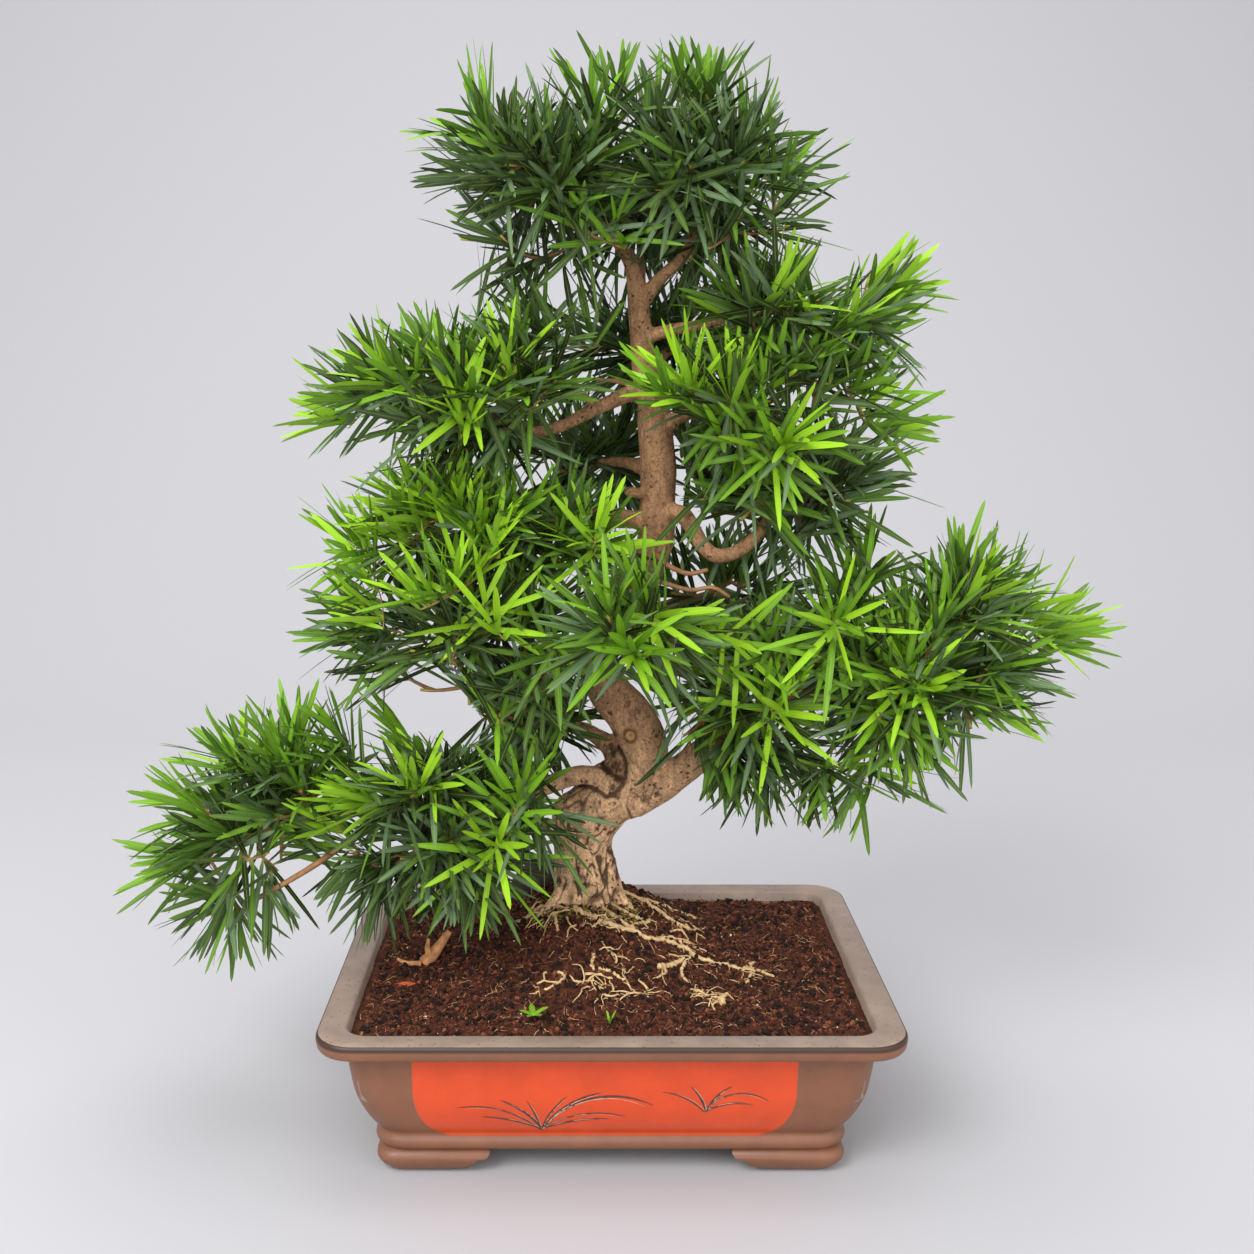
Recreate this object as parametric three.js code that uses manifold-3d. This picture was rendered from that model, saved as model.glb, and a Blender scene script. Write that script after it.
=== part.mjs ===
// A podocarpus bonsai in its rectangular glazed pot.
//
// Millimetres, +X to the viewer's right, +Y away from the viewer, +Z up.
// The origin is on the plane of the pot's foot soles, at the pot's centre.

import * as THREE from 'three';
import { mergeVertices } from 'three/addons/utils/BufferGeometryUtils.js';
import Module from 'manifold-3d';

const wasm = await Module();
wasm.setup();

// Driving dimensions
const POT_WIDTH = 350;
const POT_DEPTH = 260;
const POT_HEIGHT = 100;
const PLANT_TOP = 675;
const CROWN_HALF_WIDTH = 326;
const CROWN_HALF_DEPTH = 180;
const CLEARANCE = 0.3;

// Pot: each row of its section is [inset from the rim's outline, height, corner radius]
const FOOT_HEIGHT = 16.5;
const POT_FLOOR = 28;
const CORNER_STEPS = 3;
const CENTRE = null;
const POT_SECTION = [
  [CENTRE, FOOT_HEIGHT, 0],
  [33, FOOT_HEIGHT, 13],
  [30.6, 20.5, 14],
  [32.2, 27, 13],
  [29, 32, 13],
  [23.5, 43, 15],
  [19.7, 54, 16],
  [17.5, 67, 16],
  [16, 88, 16],
  [8.5, 89.5, 19],
  [6.5, 91, 20],
  [0.8, 93.5, 23],
  [0, 96.5, 24],
  [1.6, POT_HEIGHT, 23],
  [16, POT_HEIGHT - 0.4, 13],
  [17.5, 98.5, 12],
  [25, 84, 12],
  [26.5, 60, 12],
  [31, 42, 14],
  [40, POT_FLOOR + 2, 14],
  [CENTRE, POT_FLOOR, 0],
];
const INNER_ROWS = 6;
const FOOT_SECTION = [
  [56, FOOT_HEIGHT + 1.5, 10],
  [58, 0, 10],
  [39, 0, 12],
  [33.5, 4, 13],
  [31, 10.5, 14],
  [32, 13.8, 13],
  [36, FOOT_HEIGHT - 0.5, 11],
  [37, FOOT_HEIGHT + 1.5, 11],
];
const FOOT_INSET = 31;
const FRONT_FOOT_LENGTH = 70;
const SIDE_FOOT_LENGTH = 52;
// The scroll that ends each foot: [share of its own length, height] from the foot's end to its sole
const FOOT_SCROLL = [[0, 14], [0.18, 9], [0.36, 5.5], [0.75, 3], [1, -1]];
const SCROLL_LENGTH = 32;
const FOOT_GAP_RISE = 4;

// Soil: nearly level at the rim, raised to a mound round the trunk
const TRUNK_FOOT = new THREE.Vector3(-14, 42, 125);
const SOIL_EDGE = 96.5;
const MOUND_TOP_RADIUS = 24;
const MOUND_RUN_FRONT = 66;
const MOUND_RUN_BACK = 32;
const MOUND_RUN_SIDE = 46;
const SOIL_COLUMNS = 14;
const SOIL_LANES = 10;

// Limbs: a centre line by hand, and the radius at its two ends
const TRUNK_LINE = [
  [-14, 42, 125], [-17, 42, 150], [-16, 42, 174], [-4, 41, 194], [14, 39, 213], [23, 36, 231],
  [16, 36, 252], [1, 38, 271], [-7, 41, 289], [-4, 42, 305], [9, 40, 333], [24, 36, 357],
  [30, 33, 374], [31, 30, 397], [31, 28, 423], [29, 27, 445], [27, 26, 464], [22, 25, 483],
  [19, 23, 508], [17, 22, 530],
];
// Trunk radius against height
const TRUNK_TAPER = [
  [125, 24], [138, 21.5], [155, 19.8], [176, 20.5], [196, 22], [213, 19.5], [231, 17.6], [252, 16],
  [271, 14.4], [289, 13.4], [333, 12.6], [374, 12], [423, 11.6], [450, 11], [470, 9.4], [490, 7.8],
  [530, 6.6],
];
const FOOT_CUT = 6;
const FLARE_HEIGHT = 14;
const FLARE_REACH = 5;
const FLARE_LOBES = 6;
const TRUNK_SIDES = 12;
const TRUNK_ROWS = 25;
const SHOULDER = { centre: [-22, 41, 184], radii: [17, 17, 17] };

const LIMBS = [
  { name: 'low_right_bough', from: ['trunk'], radii: [14.5, 6], rows: 8, sides: 7,
    line: [[-6, 40, 188], [24, 36, 200], [46, 29, 217], [64, 22, 234], [92, 10, 258], [124, 2, 275],
      [160, 0, 283]] },
  { name: 'low_right_branch', from: ['low_right_bough'], radii: [5, 3.4], rows: 4, sides: 6,
    line: [[84, 14, 250], [88, 22, 262], [90, 27, 274]] },
  { name: 'low_left_bough', from: ['trunk'], radii: [7.6, 4], rows: 10, sides: 6,
    line: [[8, 38, 204], [-2, 33, 212], [-19, 27, 216], [-35, 22, 213], [-59, 17, 205], [-86, 12, 201],
      [-120, 8, 201], [-160, 4, 200], [-200, 2, 196]] },
  { name: 'low_left_branch', from: ['low_left_bough'], radii: [4.4, 3], rows: 4, sides: 6,
    line: [[-84, 13, 201], [-90, 0, 203], [-95, -12, 201]] },
  { name: 'back_left_bough', from: ['trunk'], radii: [8, 3.6], rows: 6, sides: 6,
    line: [[16, 40, 206], [8, 52, 218], [-8, 68, 232], [-30, 82, 238], [-48, 90, 238]] },
  { name: 'back_right_bough', from: ['trunk'], radii: [7, 3.6], rows: 5, sides: 6,
    line: [[0, 42, 300], [14, 58, 312], [34, 78, 320], [52, 94, 322]] },
  { name: 'mid_left_low_bough', from: ['trunk'], radii: [7.4, 4], rows: 6, sides: 6,
    line: [[-6, 40, 300], [-22, 30, 300], [-45, 14, 300], [-66, 2, 304], [-84, -6, 310]] },
  { name: 'centre_front_bough', from: ['trunk'], radii: [5.4, 3.2], rows: 5, sides: 6,
    line: [[16, 38, 344], [16, 20, 346], [14, -4, 344], [14, -30, 338], [15, -52, 335]] },
  { name: 'mid_left_high_bough', from: ['trunk'], radii: [6.6, 3.8], rows: 6, sides: 6,
    line: [[30, 32, 382], [14, 27, 388], [-4, 20, 391], [-26, 12, 389], [-50, 6, 387], [-70, 2, 386]] },
  { name: 'mid_right_low_bough', from: ['trunk'], radii: [6.2, 3.8], rows: 10, sides: 6,
    line: [[34, 28, 393], [46, 20, 392], [53, 14, 383], [59, 10, 373], [67, 8, 367], [79, 6, 369],
      [91, 6, 378], [99, 7, 388], [103, 8, 398]] },
  { name: 'back_mid_bough', from: ['trunk'], radii: [6, 3.4], rows: 4, sides: 6,
    line: [[31, 29, 415], [22, 46, 420], [8, 66, 422], [-6, 82, 420]] },
  { name: 'mid_right_high_bough', from: ['trunk'], radii: [5.6, 3.4], rows: 4, sides: 6,
    line: [[31, 27, 440], [40, 22, 451], [53, 13, 458], [66, 4, 463]] },
  { name: 'upper_left_bough', from: ['trunk'], radii: [5.8, 3.4], rows: 7, sides: 6,
    line: [[27, 26, 474], [16, 23, 470], [-9, 18, 459], [-32, 12, 448], [-48, 8, 445], [-64, 4, 450]] },
  { name: 'back_high_bough', from: ['trunk'], radii: [4.8, 3], rows: 4, sides: 6,
    line: [[24, 25, 480], [30, 42, 488], [38, 58, 494], [44, 72, 496]] },
  { name: 'upper_right_bough', from: ['trunk'], radii: [4.8, 3], rows: 5, sides: 6,
    line: [[19, 23, 502], [36, 15, 507], [56, 6, 510], [76, -2, 512], [90, -6, 513]] },
  { name: 'right_leader', from: ['trunk'], radii: [5, 3.2], rows: 5, sides: 6,
    line: [[19, 22, 522], [30, 20, 538], [44, 15, 551], [52, 10, 566], [56, 8, 580]] },
  { name: 'back_leader', from: ['trunk', 'right_leader'], radii: [4.6, 3], rows: 4, sides: 6,
    line: [[19, 23, 515], [19, 36, 534], [20, 48, 556], [20, 55, 574]] },
  { name: 'left_leader', from: ['trunk', 'right_leader', 'back_leader'], radii: [6, 3.4], rows: 5, sides: 6,
    line: [[17, 22, 526], [13, 20, 548], [3, 17, 563], [-12, 12, 575], [-24, 8, 584]] },
];

// Foliage: each mass has a core that its shoots end in, and leaves that reach out of it
const LEAF_LENGTH = 72;
const LEAF_WIDTH = 19;
const LEAF_THICKNESS = 2.6;
const LEAF_WIDEST = 0.42;
const LEAF_SINK = 1;
const LEAF_FORWARD = 0.92;
const LEAF_LIFT = 0.15;
const SIDE_SWING = 0.8;
const LAST_LEAF = 0.9;
const LEAFY_SHARE = 0.5;
const LEAVES_PER_TWIG = 6;
const LEAF_TRIES = 48;
const LEAF_SHRINK = 0.35;
const LEAF_VARIATION = 0.15;
const SHALLOWEST_SHOOT = 0.6;
const SHOOT_LIFT = 0.35;
const SHOOT_TRIES = 4;
const SHOOT_DRAW_IN = 0.25;
const NEAREST_JOINTS = 4;
const STEM_JOINTS = [0.45, 0.6, 0.75, 0.9, 1];
const TWIG_JOINTS = [0.4, 0.6];
const LEAF_SHARES = [0.25, 0.5, 0.75];
const TWIG_SHARES = [0.2, 0.4, 0.6, 0.8, 1];
const LEAF_GAP = 8;
const LEAF_STALK = 16;
const TWIG_RADIUS = 2.3;
const SHORTEST_TWIG = 14;
const STEM_SHARE = 0.92;
const STEM_SIDES = 4;
const STEM_ROWS = 3;
const LEAF_REACH = 54;
const SPACE_MARGIN = 3;
const LIMB_MARGIN = 3;
const TRUNK_SAMPLES = 80;
const LIMB_SAMPLE_STEP = 5;
const POT_MARGIN = 8;
const LOWEST_LEAF = 60;
const GOLDEN_ANGLE = Math.PI * (3 - Math.sqrt(5));
const MASSES = [
  { name: 'top_left_foliage', limb: 'left_leader', shoots: 5, seed: 4411,
    centre: [-40, 0, 592], core: [34, 36, 24] },
  { name: 'top_right_foliage', limb: 'right_leader', shoots: 5, seed: 3012,
    centre: [64, 0, 594], core: [34, 36, 24], furthest: [57, 10, PLANT_TOP] },
  { name: 'top_back_foliage', limb: 'back_leader', shoots: 4, seed: 3513,
    centre: [18, 58, 590], core: [42, 22, 24] },
  { name: 'upper_left_foliage', limb: 'upper_left_bough', shoots: 6, seed: 2321,
    centre: [-86, 2, 474], core: [60, 44, 18] },
  { name: 'upper_right_foliage', limb: 'upper_right_bough', shoots: 4, seed: 2622,
    centre: [106, -8, 512], core: [38, 36, 14] },
  { name: 'back_high_foliage', limb: 'back_high_bough', shoots: 4, seed: 1423,
    centre: [30, 92, 496], core: [50, 24, 18] },
  { name: 'mid_right_high_foliage', limb: 'mid_right_high_bough', shoots: 4, seed: 2531,
    centre: [88, -14, 462], core: [44, 36, 14] },
  { name: 'mid_right_low_foliage', limb: 'mid_right_low_bough', shoots: 5, seed: 3432,
    centre: [122, 4, 408], core: [38, 38, 16] },
  { name: 'back_mid_foliage', limb: 'back_mid_bough', shoots: 4, seed: 2033,
    centre: [-22, 104, 420], core: [50, 24, 20], furthest: [-22, CROWN_HALF_DEPTH, 424] },
  { name: 'mid_left_high_foliage', limb: 'mid_left_high_bough', shoots: 6, seed: 1941,
    centre: [-86, 0, 386], core: [60, 44, 18] },
  { name: 'mid_left_low_foliage', limb: 'mid_left_low_bough', shoots: 6, seed: 3042,
    centre: [-90, -18, 326], core: [60, 46, 18] },
  { name: 'centre_front_foliage', limb: 'centre_front_bough', shoots: 3, seed: 2343,
    centre: [16, -84, 332], core: [26, 24, 12], furthest: [14, -CROWN_HALF_DEPTH, 330] },
  { name: 'back_right_foliage', limb: 'back_right_bough', shoots: 4, seed: 2844,
    centre: [78, 100, 330], core: [46, 26, 22] },
  { name: 'back_left_foliage', limb: 'back_left_bough', shoots: 4, seed: 2551,
    centre: [-66, 94, 238], core: [36, 28, 18] },
  { name: 'low_right_inner_foliage', limb: 'low_right_branch', shoots: 7, seed: 2152,
    centre: [100, 16, 280], core: [36, 38, 40] },
  { name: 'low_right_outer_foliage', limb: 'low_right_bough', shoots: 9, seed: 1753,
    centre: [202, 0, 297], core: [54, 44, 50], furthest: [CROWN_HALF_WIDTH, 8, 309] },
  { name: 'low_left_inner_foliage', limb: 'low_left_branch', shoots: 7, seed: 4454,
    centre: [-106, -20, 198], core: [46, 40, 36] },
  { name: 'low_left_outer_foliage', limb: 'low_left_bough', shoots: 7, seed: 3455,
    centre: [-232, 0, 184], core: [30, 38, 44], furthest: [-CROWN_HALF_WIDTH, 8, 156] },
];

// Surface roots, as plan points on the soil, and a dark stone beside the trunk
const ROOTS = [
  { name: 'front_surface_roots', tubes: [
    { radii: [3.4, 2.2], plan: [[-8, 30], [0, 8], [16, -2], [34, -4], [46, -14], [56, -24]] },
    { radii: [2.2, 1.4], plan: [[46, -14], [34, -32], [40, -52]] },
    { radii: [2.2, 1.3], plan: [[56, -24], [72, -30], [92, -30], [108, -38]] },
    { radii: [1.8, 1.2], plan: [[34, -4], [14, -26], [-2, -44]] },
  ] },
  { name: 'right_surface_root', tubes: [
    { radii: [3, 1.6], plan: [[0, 44], [18, 40], [36, 30], [56, 20], [66, 14]] },
  ] },
  { name: 'left_surface_roots', tubes: [
    { radii: [2.6, 1.4], plan: [[-24, 36], [-36, 20], [-52, 12], [-64, 14]] },
    { radii: [1.8, 1.2], plan: [[-36, 20], [-36, 4], [-30, -10]] },
  ] },
];
const ROOT_SIDES = 3;
const STONE = { centre: [-44, 88, 112], radii: [25, 15, 24], smallest: 0.92, largest: 1.04, seed: 7 };

const COLOURS = {
  clay: 0x8f5f48, soil: 0x3d2118, bark: 0xa98260, root: 0xc8af82, stone: 0x5a4c46,
  leafDark: 0x2f6b2a, leafMid: 0x3f8a2c, leafBright: 0x63ab2e,
};

// A repeatable stream of numbers from 0 to 1
function seededRandom(seed) {
  let state = seed >>> 0;
  return () => {
    state = (state + 0x6d2b79f5) >>> 0;
    let mixed = Math.imul(state ^ (state >>> 15), state | 1);
    mixed ^= mixed + Math.imul(mixed ^ (mixed >>> 7), mixed | 61);
    return ((mixed ^ (mixed >>> 14)) >>> 0) / 4294967296;
  };
}

// A closed three.js geometry as a solid: only shared positions, no flat triangles
function solidOf(geometry) {
  const bare = geometry.clone();
  const extra = Object.keys(bare.attributes).filter((name) => name !== 'position');
  extra.forEach((name) => bare.deleteAttribute(name));
  const merged = mergeVertices(bare, 1e-4);
  const index = merged.index.array;
  const kept = [];
  for (let i = 0; i < index.length; i += 3) {
    const [a, b, c] = [index[i], index[i + 1], index[i + 2]];
    if (a !== b && b !== c && c !== a) kept.push(a, b, c);
  }
  const vertProperties = new Float32Array(merged.attributes.position.array);
  return new wasm.Manifold(new wasm.Mesh({ numProp: 3, vertProperties, triVerts: new Uint32Array(kept) }));
}

// The one connected body that holds most of a solid, without its loose scraps and sealed hollows
function mainBody(solid) {
  return solid.decompose().reduce((best, body) => (body.volume() > best.volume() ? body : best));
}

function geometryOf(solid) {
  const mesh = solid.getMesh();
  const geometry = new THREE.BufferGeometry();
  geometry.setAttribute('position', new THREE.BufferAttribute(new Float32Array(mesh.vertProperties), 3));
  geometry.setIndex(new THREE.BufferAttribute(new Uint32Array(mesh.triVerts), 1));
  geometry.computeVertexNormals();
  return geometry;
}

const plant = new THREE.Group();

function addNode(name, solid, colour, roughness) {
  const material = new THREE.MeshStandardMaterial({ color: colour, roughness, metalness: 0 });
  const mesh = new THREE.Mesh(geometryOf(solid), material);
  mesh.name = name;
  plant.add(mesh);
}

// Points round a rectangle with round corners, anticlockwise seen from above
function roundedRectangle(halfX, halfY, radius) {
  const points = [];
  for (let corner = 0; corner < 4; corner += 1) {
    const signX = corner === 0 || corner === 3 ? 1 : -1;
    const signY = corner < 2 ? 1 : -1;
    for (let step = 0; step <= CORNER_STEPS; step += 1) {
      const angle = (corner + step / CORNER_STEPS) * Math.PI / 2;
      points.push([
        signX * (halfX - radius) + radius * Math.cos(angle),
        signY * (halfY - radius) + radius * Math.sin(angle),
      ]);
    }
  }
  return points;
}

// A lathe whose rings are squared to rounded rectangles: section rows are [inset, height, corner radius]
function squareLathe(section) {
  const columns = 4 * (CORNER_STEPS + 1);
  const profile = section.map(([inset, height]) => (
    new THREE.Vector2(inset === CENTRE ? 0 : POT_DEPTH / 2 - inset, height)));
  const lathe = new THREE.LatheGeometry(profile, columns);
  const position = lathe.attributes.position;
  const rings = section.map(([inset, height, radius]) => (
    inset === CENTRE ? null : roundedRectangle(POT_WIDTH / 2 - inset, POT_DEPTH / 2 - inset, radius)
  ));
  for (let i = 0; i < position.count; i += 1) {
    const column = Math.floor(i / section.length) % columns;
    const row = i % section.length;
    const [x, y] = rings[row] === null ? [0, 0] : rings[row][column];
    position.setXYZ(i, x, y, section[row][1]);
  }
  return solidOf(lathe);
}

// The gap between two feet, as a prism across the pot
function footGap(halfSpan, reach) {
  const outline = FOOT_SCROLL.map(([share, height]) => [halfSpan + share * SCROLL_LENGTH, height]);
  const right = outline.map(([x, z]) => new THREE.Vector2(x, z));
  const left = outline.map(([x, z]) => new THREE.Vector2(-x, z)).reverse();
  const roof = FOOT_HEIGHT + FOOT_GAP_RISE;
  const top = [new THREE.Vector2(-halfSpan, roof), new THREE.Vector2(halfSpan, roof)];
  const prism = new THREE.ExtrudeGeometry(new THREE.Shape([...left, ...top, ...right]), {
    depth: reach, bevelEnabled: false,
  });
  prism.rotateX(Math.PI / 2);
  prism.translate(0, reach / 2, 0);
  return prism;
}

function makePot() {
  const footRing = squareLathe([...FOOT_SECTION, FOOT_SECTION[0]]);
  const frontGap = footGap(POT_WIDTH / 2 - FOOT_INSET - FRONT_FOOT_LENGTH, POT_DEPTH);
  const sideGap = footGap(POT_DEPTH / 2 - FOOT_INSET - SIDE_FOOT_LENGTH, POT_WIDTH);
  sideGap.rotateZ(Math.PI / 2);
  const feet = footRing.subtract(solidOf(frontGap)).subtract(solidOf(sideGap));
  return mainBody(squareLathe(POT_SECTION).add(feet));
}

// Height of the soil over a plan point
function soilHeight(x, y) {
  const run = y > TRUNK_FOOT.y ? MOUND_RUN_BACK : MOUND_RUN_FRONT;
  const away = Math.hypot(x - TRUNK_FOOT.x, y - TRUNK_FOOT.y);
  const shrink = Math.max(0, away - MOUND_TOP_RADIUS) / Math.max(away, 1);
  const fall = Math.hypot((x - TRUNK_FOOT.x) / MOUND_RUN_SIDE, (y - TRUNK_FOOT.y) / run) * shrink;
  return SOIL_EDGE + (TRUNK_FOOT.z - CLEARANCE - SOIL_EDGE) * Math.exp(-fall * fall);
}

// Height of the faceted soil over a plan point: each cell is split from its near left to its far right corner
function soilSurface(x, y) {
  const column = (x / POT_WIDTH + 0.5) * SOIL_COLUMNS;
  const lane = (y / POT_DEPTH + 0.5) * SOIL_LANES;
  const [i, j] = [Math.floor(column), Math.floor(lane)];
  const [u, v] = [column - i, lane - j];
  const corner = (right, back) => soilHeight(
    ((i + right) / SOIL_COLUMNS - 0.5) * POT_WIDTH, ((j + back) / SOIL_LANES - 0.5) * POT_DEPTH);
  const [near, far] = [corner(0, 0), corner(1, 1)];
  const side = v > u ? corner(0, 1) : corner(1, 0);
  return v > u ? near + u * (far - side) + v * (side - near) : near + u * (side - near) + v * (far - side);
}

function makeSoil() {
  const lift = POT_HEIGHT * 1.5;
  const inside = POT_SECTION.slice(-INNER_ROWS).reverse()
    .map(([inset, height, radius]) => (
      inset === CENTRE ? [CENTRE, height + CLEARANCE, 0] : [inset + CLEARANCE, height + CLEARANCE, radius]));
  const last = inside[inside.length - 1];
  const room = squareLathe([...inside, [last[0], lift, last[2]], [CENTRE, lift, 0]]);
  const block = new THREE.BoxGeometry(POT_WIDTH, POT_DEPTH, POT_HEIGHT, SOIL_COLUMNS, SOIL_LANES, 1);
  const position = block.attributes.position;
  for (let i = 0; i < position.count; i += 1) {
    const top = position.getZ(i) > 0;
    position.setZ(i, top ? soilHeight(position.getX(i), position.getY(i)) : 0);
  }
  return solidOf(block).intersect(room);
}

function curveThrough(line) {
  return new THREE.CatmullRomCurve3(line.map((point) => new THREE.Vector3(...point)), false, 'centripetal');
}

// A closed round limb along a curve: radiusAt gives its radius from the share of its length and the angle,
// and grow makes it that much larger all over
function sweptLimb(curve, radiusAt, sides, rows, grow = 0) {
  const frames = curve.computeFrenetFrames(rows, false);
  const tube = new THREE.CylinderGeometry(1, 1, 1, sides, rows);
  const position = tube.attributes.position;
  for (let i = 0; i < position.count; i += 1) {
    const row = Math.round((position.getY(i) + 0.5) * rows);
    const share = row / rows;
    const [across, along] = [position.getX(i), position.getZ(i)];
    const radius = radiusAt(share, Math.atan2(along, across)) + grow;
    const lengthen = grow * (Number(row === rows) - Number(row === 0));
    const point = curve.getPointAt(share)
      .addScaledVector(frames.tangents[row], lengthen)
      .addScaledVector(frames.normals[row], across * radius)
      .addScaledVector(frames.binormals[row], -along * radius);
    position.setXYZ(i, point.x, point.y, point.z);
  }
  return tube;
}

function taperedRadius([start, end]) {
  return (share) => start + (end - start) * share ** 0.8;
}

function tableValue(table, key) {
  const next = table.findIndex(([at]) => at >= key);
  if (next === 0) return table[0][1];
  if (next < 0) return table[table.length - 1][1];
  const [[lowAt, low], [highAt, high]] = [table[next - 1], table[next]];
  return low + (high - low) * (key - lowAt) / (highAt - lowAt);
}

// The trunk flares into lobes over its root crown and is cut flat where it meets the soil
function makeTrunk(grow = 0) {
  const curve = curveThrough(TRUNK_LINE);
  const radiusAt = (share, angle) => {
    const height = curve.getPointAt(share).z;
    const flare = Math.max(0, 1 - (height - TRUNK_FOOT.z) / FLARE_HEIGHT) ** 2;
    return tableValue(TRUNK_TAPER, height) + FLARE_REACH * flare * (1 + 0.5 * Math.cos(FLARE_LOBES * angle));
  };
  const trunk = sweptLimb(curve, radiusAt, TRUNK_SIDES, TRUNK_ROWS, grow);
  const position = trunk.attributes.position;
  for (let i = 0; i < position.count; i += 1) {
    if (position.getZ(i) < TRUNK_FOOT.z + FOOT_CUT) position.setZ(i, TRUNK_FOOT.z);
  }
  const shoulder = new THREE.SphereGeometry(1, TRUNK_SIDES, 8);
  shoulder.scale(...SHOULDER.radii.map((radius) => radius + grow));
  shoulder.translate(...SHOULDER.centre);
  return solidOf(trunk).add(solidOf(shoulder));
}

function makeLimb(limb, grow = 0) {
  const curve = curveThrough(limb.line);
  return solidOf(sweptLimb(curve, taperedRadius(limb.radii), limb.sides, limb.rows, grow));
}

// Each limb is cut clear of what it grows from
function makeLimbs() {
  const grown = new Map([['trunk', makeTrunk(CLEARANCE)]]);
  addNode('trunk', makeTrunk(), COLOURS.bark, 0.85);
  for (const limb of LIMBS) {
    const whole = makeLimb(limb);
    const cut = limb.from.reduce((solid, parent) => solid.subtract(grown.get(parent)), whole);
    grown.set(limb.name, makeLimb(limb, CLEARANCE));
    addNode(limb.name, mainBody(cut), COLOURS.bark, 0.85);
  }
  return grown.get('trunk');
}

// Points along every limb with its radius there, for keeping leaves and twigs off them
function limbPoints() {
  const points = [];
  const trunkCurve = curveThrough(TRUNK_LINE);
  for (let i = 0; i <= TRUNK_SAMPLES; i += 1) {
    const point = trunkCurve.getPointAt(i / TRUNK_SAMPLES);
    points.push({ point, radius: tableValue(TRUNK_TAPER, point.z) });
  }
  points.push({ point: new THREE.Vector3(...SHOULDER.centre), radius: SHOULDER.radii[0] });
  for (const limb of LIMBS) {
    const curve = curveThrough(limb.line);
    const radiusAt = taperedRadius(limb.radii);
    const steps = Math.ceil(curve.getLength() / LIMB_SAMPLE_STEP);
    for (let i = 0; i <= steps; i += 1) {
      points.push({ point: curve.getPointAt(i / steps), radius: radiusAt(i / steps) });
    }
  }
  return points;
}

const limbSamples = limbPoints();
const cores = MASSES.map((mass) => ({
  mass, centre: new THREE.Vector3(...mass.centre), radii: new THREE.Vector3(...mass.core),
}));

// How far a point lies outside a mass's core, measured towards the core's centre
function distanceOut(core, point) {
  const offset = point.clone().sub(core.centre);
  const length = Math.max(offset.length(), 1e-6);
  return length - length / offset.divide(core.radii).length();
}

// A point belongs to a mass when it is within a leaf's reach of its core and nearer to it than to any other
function inOwnSpace(core, point) {
  const own = distanceOut(core, point);
  if (own > LEAF_REACH) return false;
  return cores.every((other) => other === core || distanceOut(other, point) > own + SPACE_MARGIN);
}

function clearOfLimbs(point, margin) {
  return limbSamples.every((sample) => sample.point.distanceTo(point) > sample.radius + margin);
}

function insideCrown(point) {
  const overWidth = Math.abs(point.x) < POT_WIDTH / 2 + POT_MARGIN;
  const overPot = overWidth && Math.abs(point.y) < POT_DEPTH / 2 + POT_MARGIN;
  const floor = overPot ? Math.max(POT_HEIGHT, soilHeight(point.x, point.y)) + POT_MARGIN : LOWEST_LEAF;
  return Math.abs(point.x) <= CROWN_HALF_WIDTH && Math.abs(point.y) <= CROWN_HALF_DEPTH
    && point.z <= PLANT_TOP && point.z > floor;
}

function allowed(core, point, margin) {
  return insideCrown(point) && inOwnSpace(core, point) && clearOfLimbs(point, margin);
}

// A leaf from its root to its tip, widest before its middle: a keel below and two flat faces above
function leafGeometry(root, tip, turn) {
  const direction = tip.clone().sub(root).normalize();
  const [first, second] = sidewaysOf(direction);
  const across = first.clone().multiplyScalar(Math.cos(turn)).addScaledVector(second, Math.sin(turn));
  const middle = root.clone().lerp(tip, LEAF_WIDEST)
    .addScaledVector(new THREE.Vector3().crossVectors(direction, across), LEAF_THICKNESS);
  const left = middle.clone().addScaledVector(across, -LEAF_WIDTH / 2);
  const right = middle.clone().addScaledVector(across, LEAF_WIDTH / 2);
  const leaf = new THREE.BufferGeometry().setFromPoints([root, tip, left, right]);
  leaf.setIndex([0, 1, 2, 0, 3, 1, 0, 2, 3, 1, 3, 2]);
  return leaf;
}

function leafFits(core, leaf, root) {
  const position = leaf.attributes.position;
  for (let i = 0; i < position.count; i += 1) {
    const point = new THREE.Vector3().fromBufferAttribute(position, i);
    const nearRoot = point.distanceTo(root) < 1;
    if (!nearRoot && !allowed(core, point, LIMB_MARGIN)) return false;
    const between = LEAF_SHARES.map((share) => root.clone().lerp(point, share));
    if (!nearRoot && between.some((place) => !clearOfLimbs(place, LIMB_MARGIN))) return false;
  }
  return true;
}

// Two unit vectors square to a direction
function sidewaysOf(direction) {
  const helper = Math.abs(direction.z) < 0.9 ? new THREE.Vector3(0, 0, 1) : new THREE.Vector3(1, 0, 0);
  const first = new THREE.Vector3().crossVectors(helper, direction).normalize();
  return [first, new THREE.Vector3().crossVectors(direction, first)];
}

// A leaf keeps off the leaves that the mass has already, but for the stalks that share a twig
function clearOfLeaves(line, lines) {
  return lines.every((other) => line.distanceSqToLine3(other) > LEAF_GAP ** 2);
}

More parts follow.
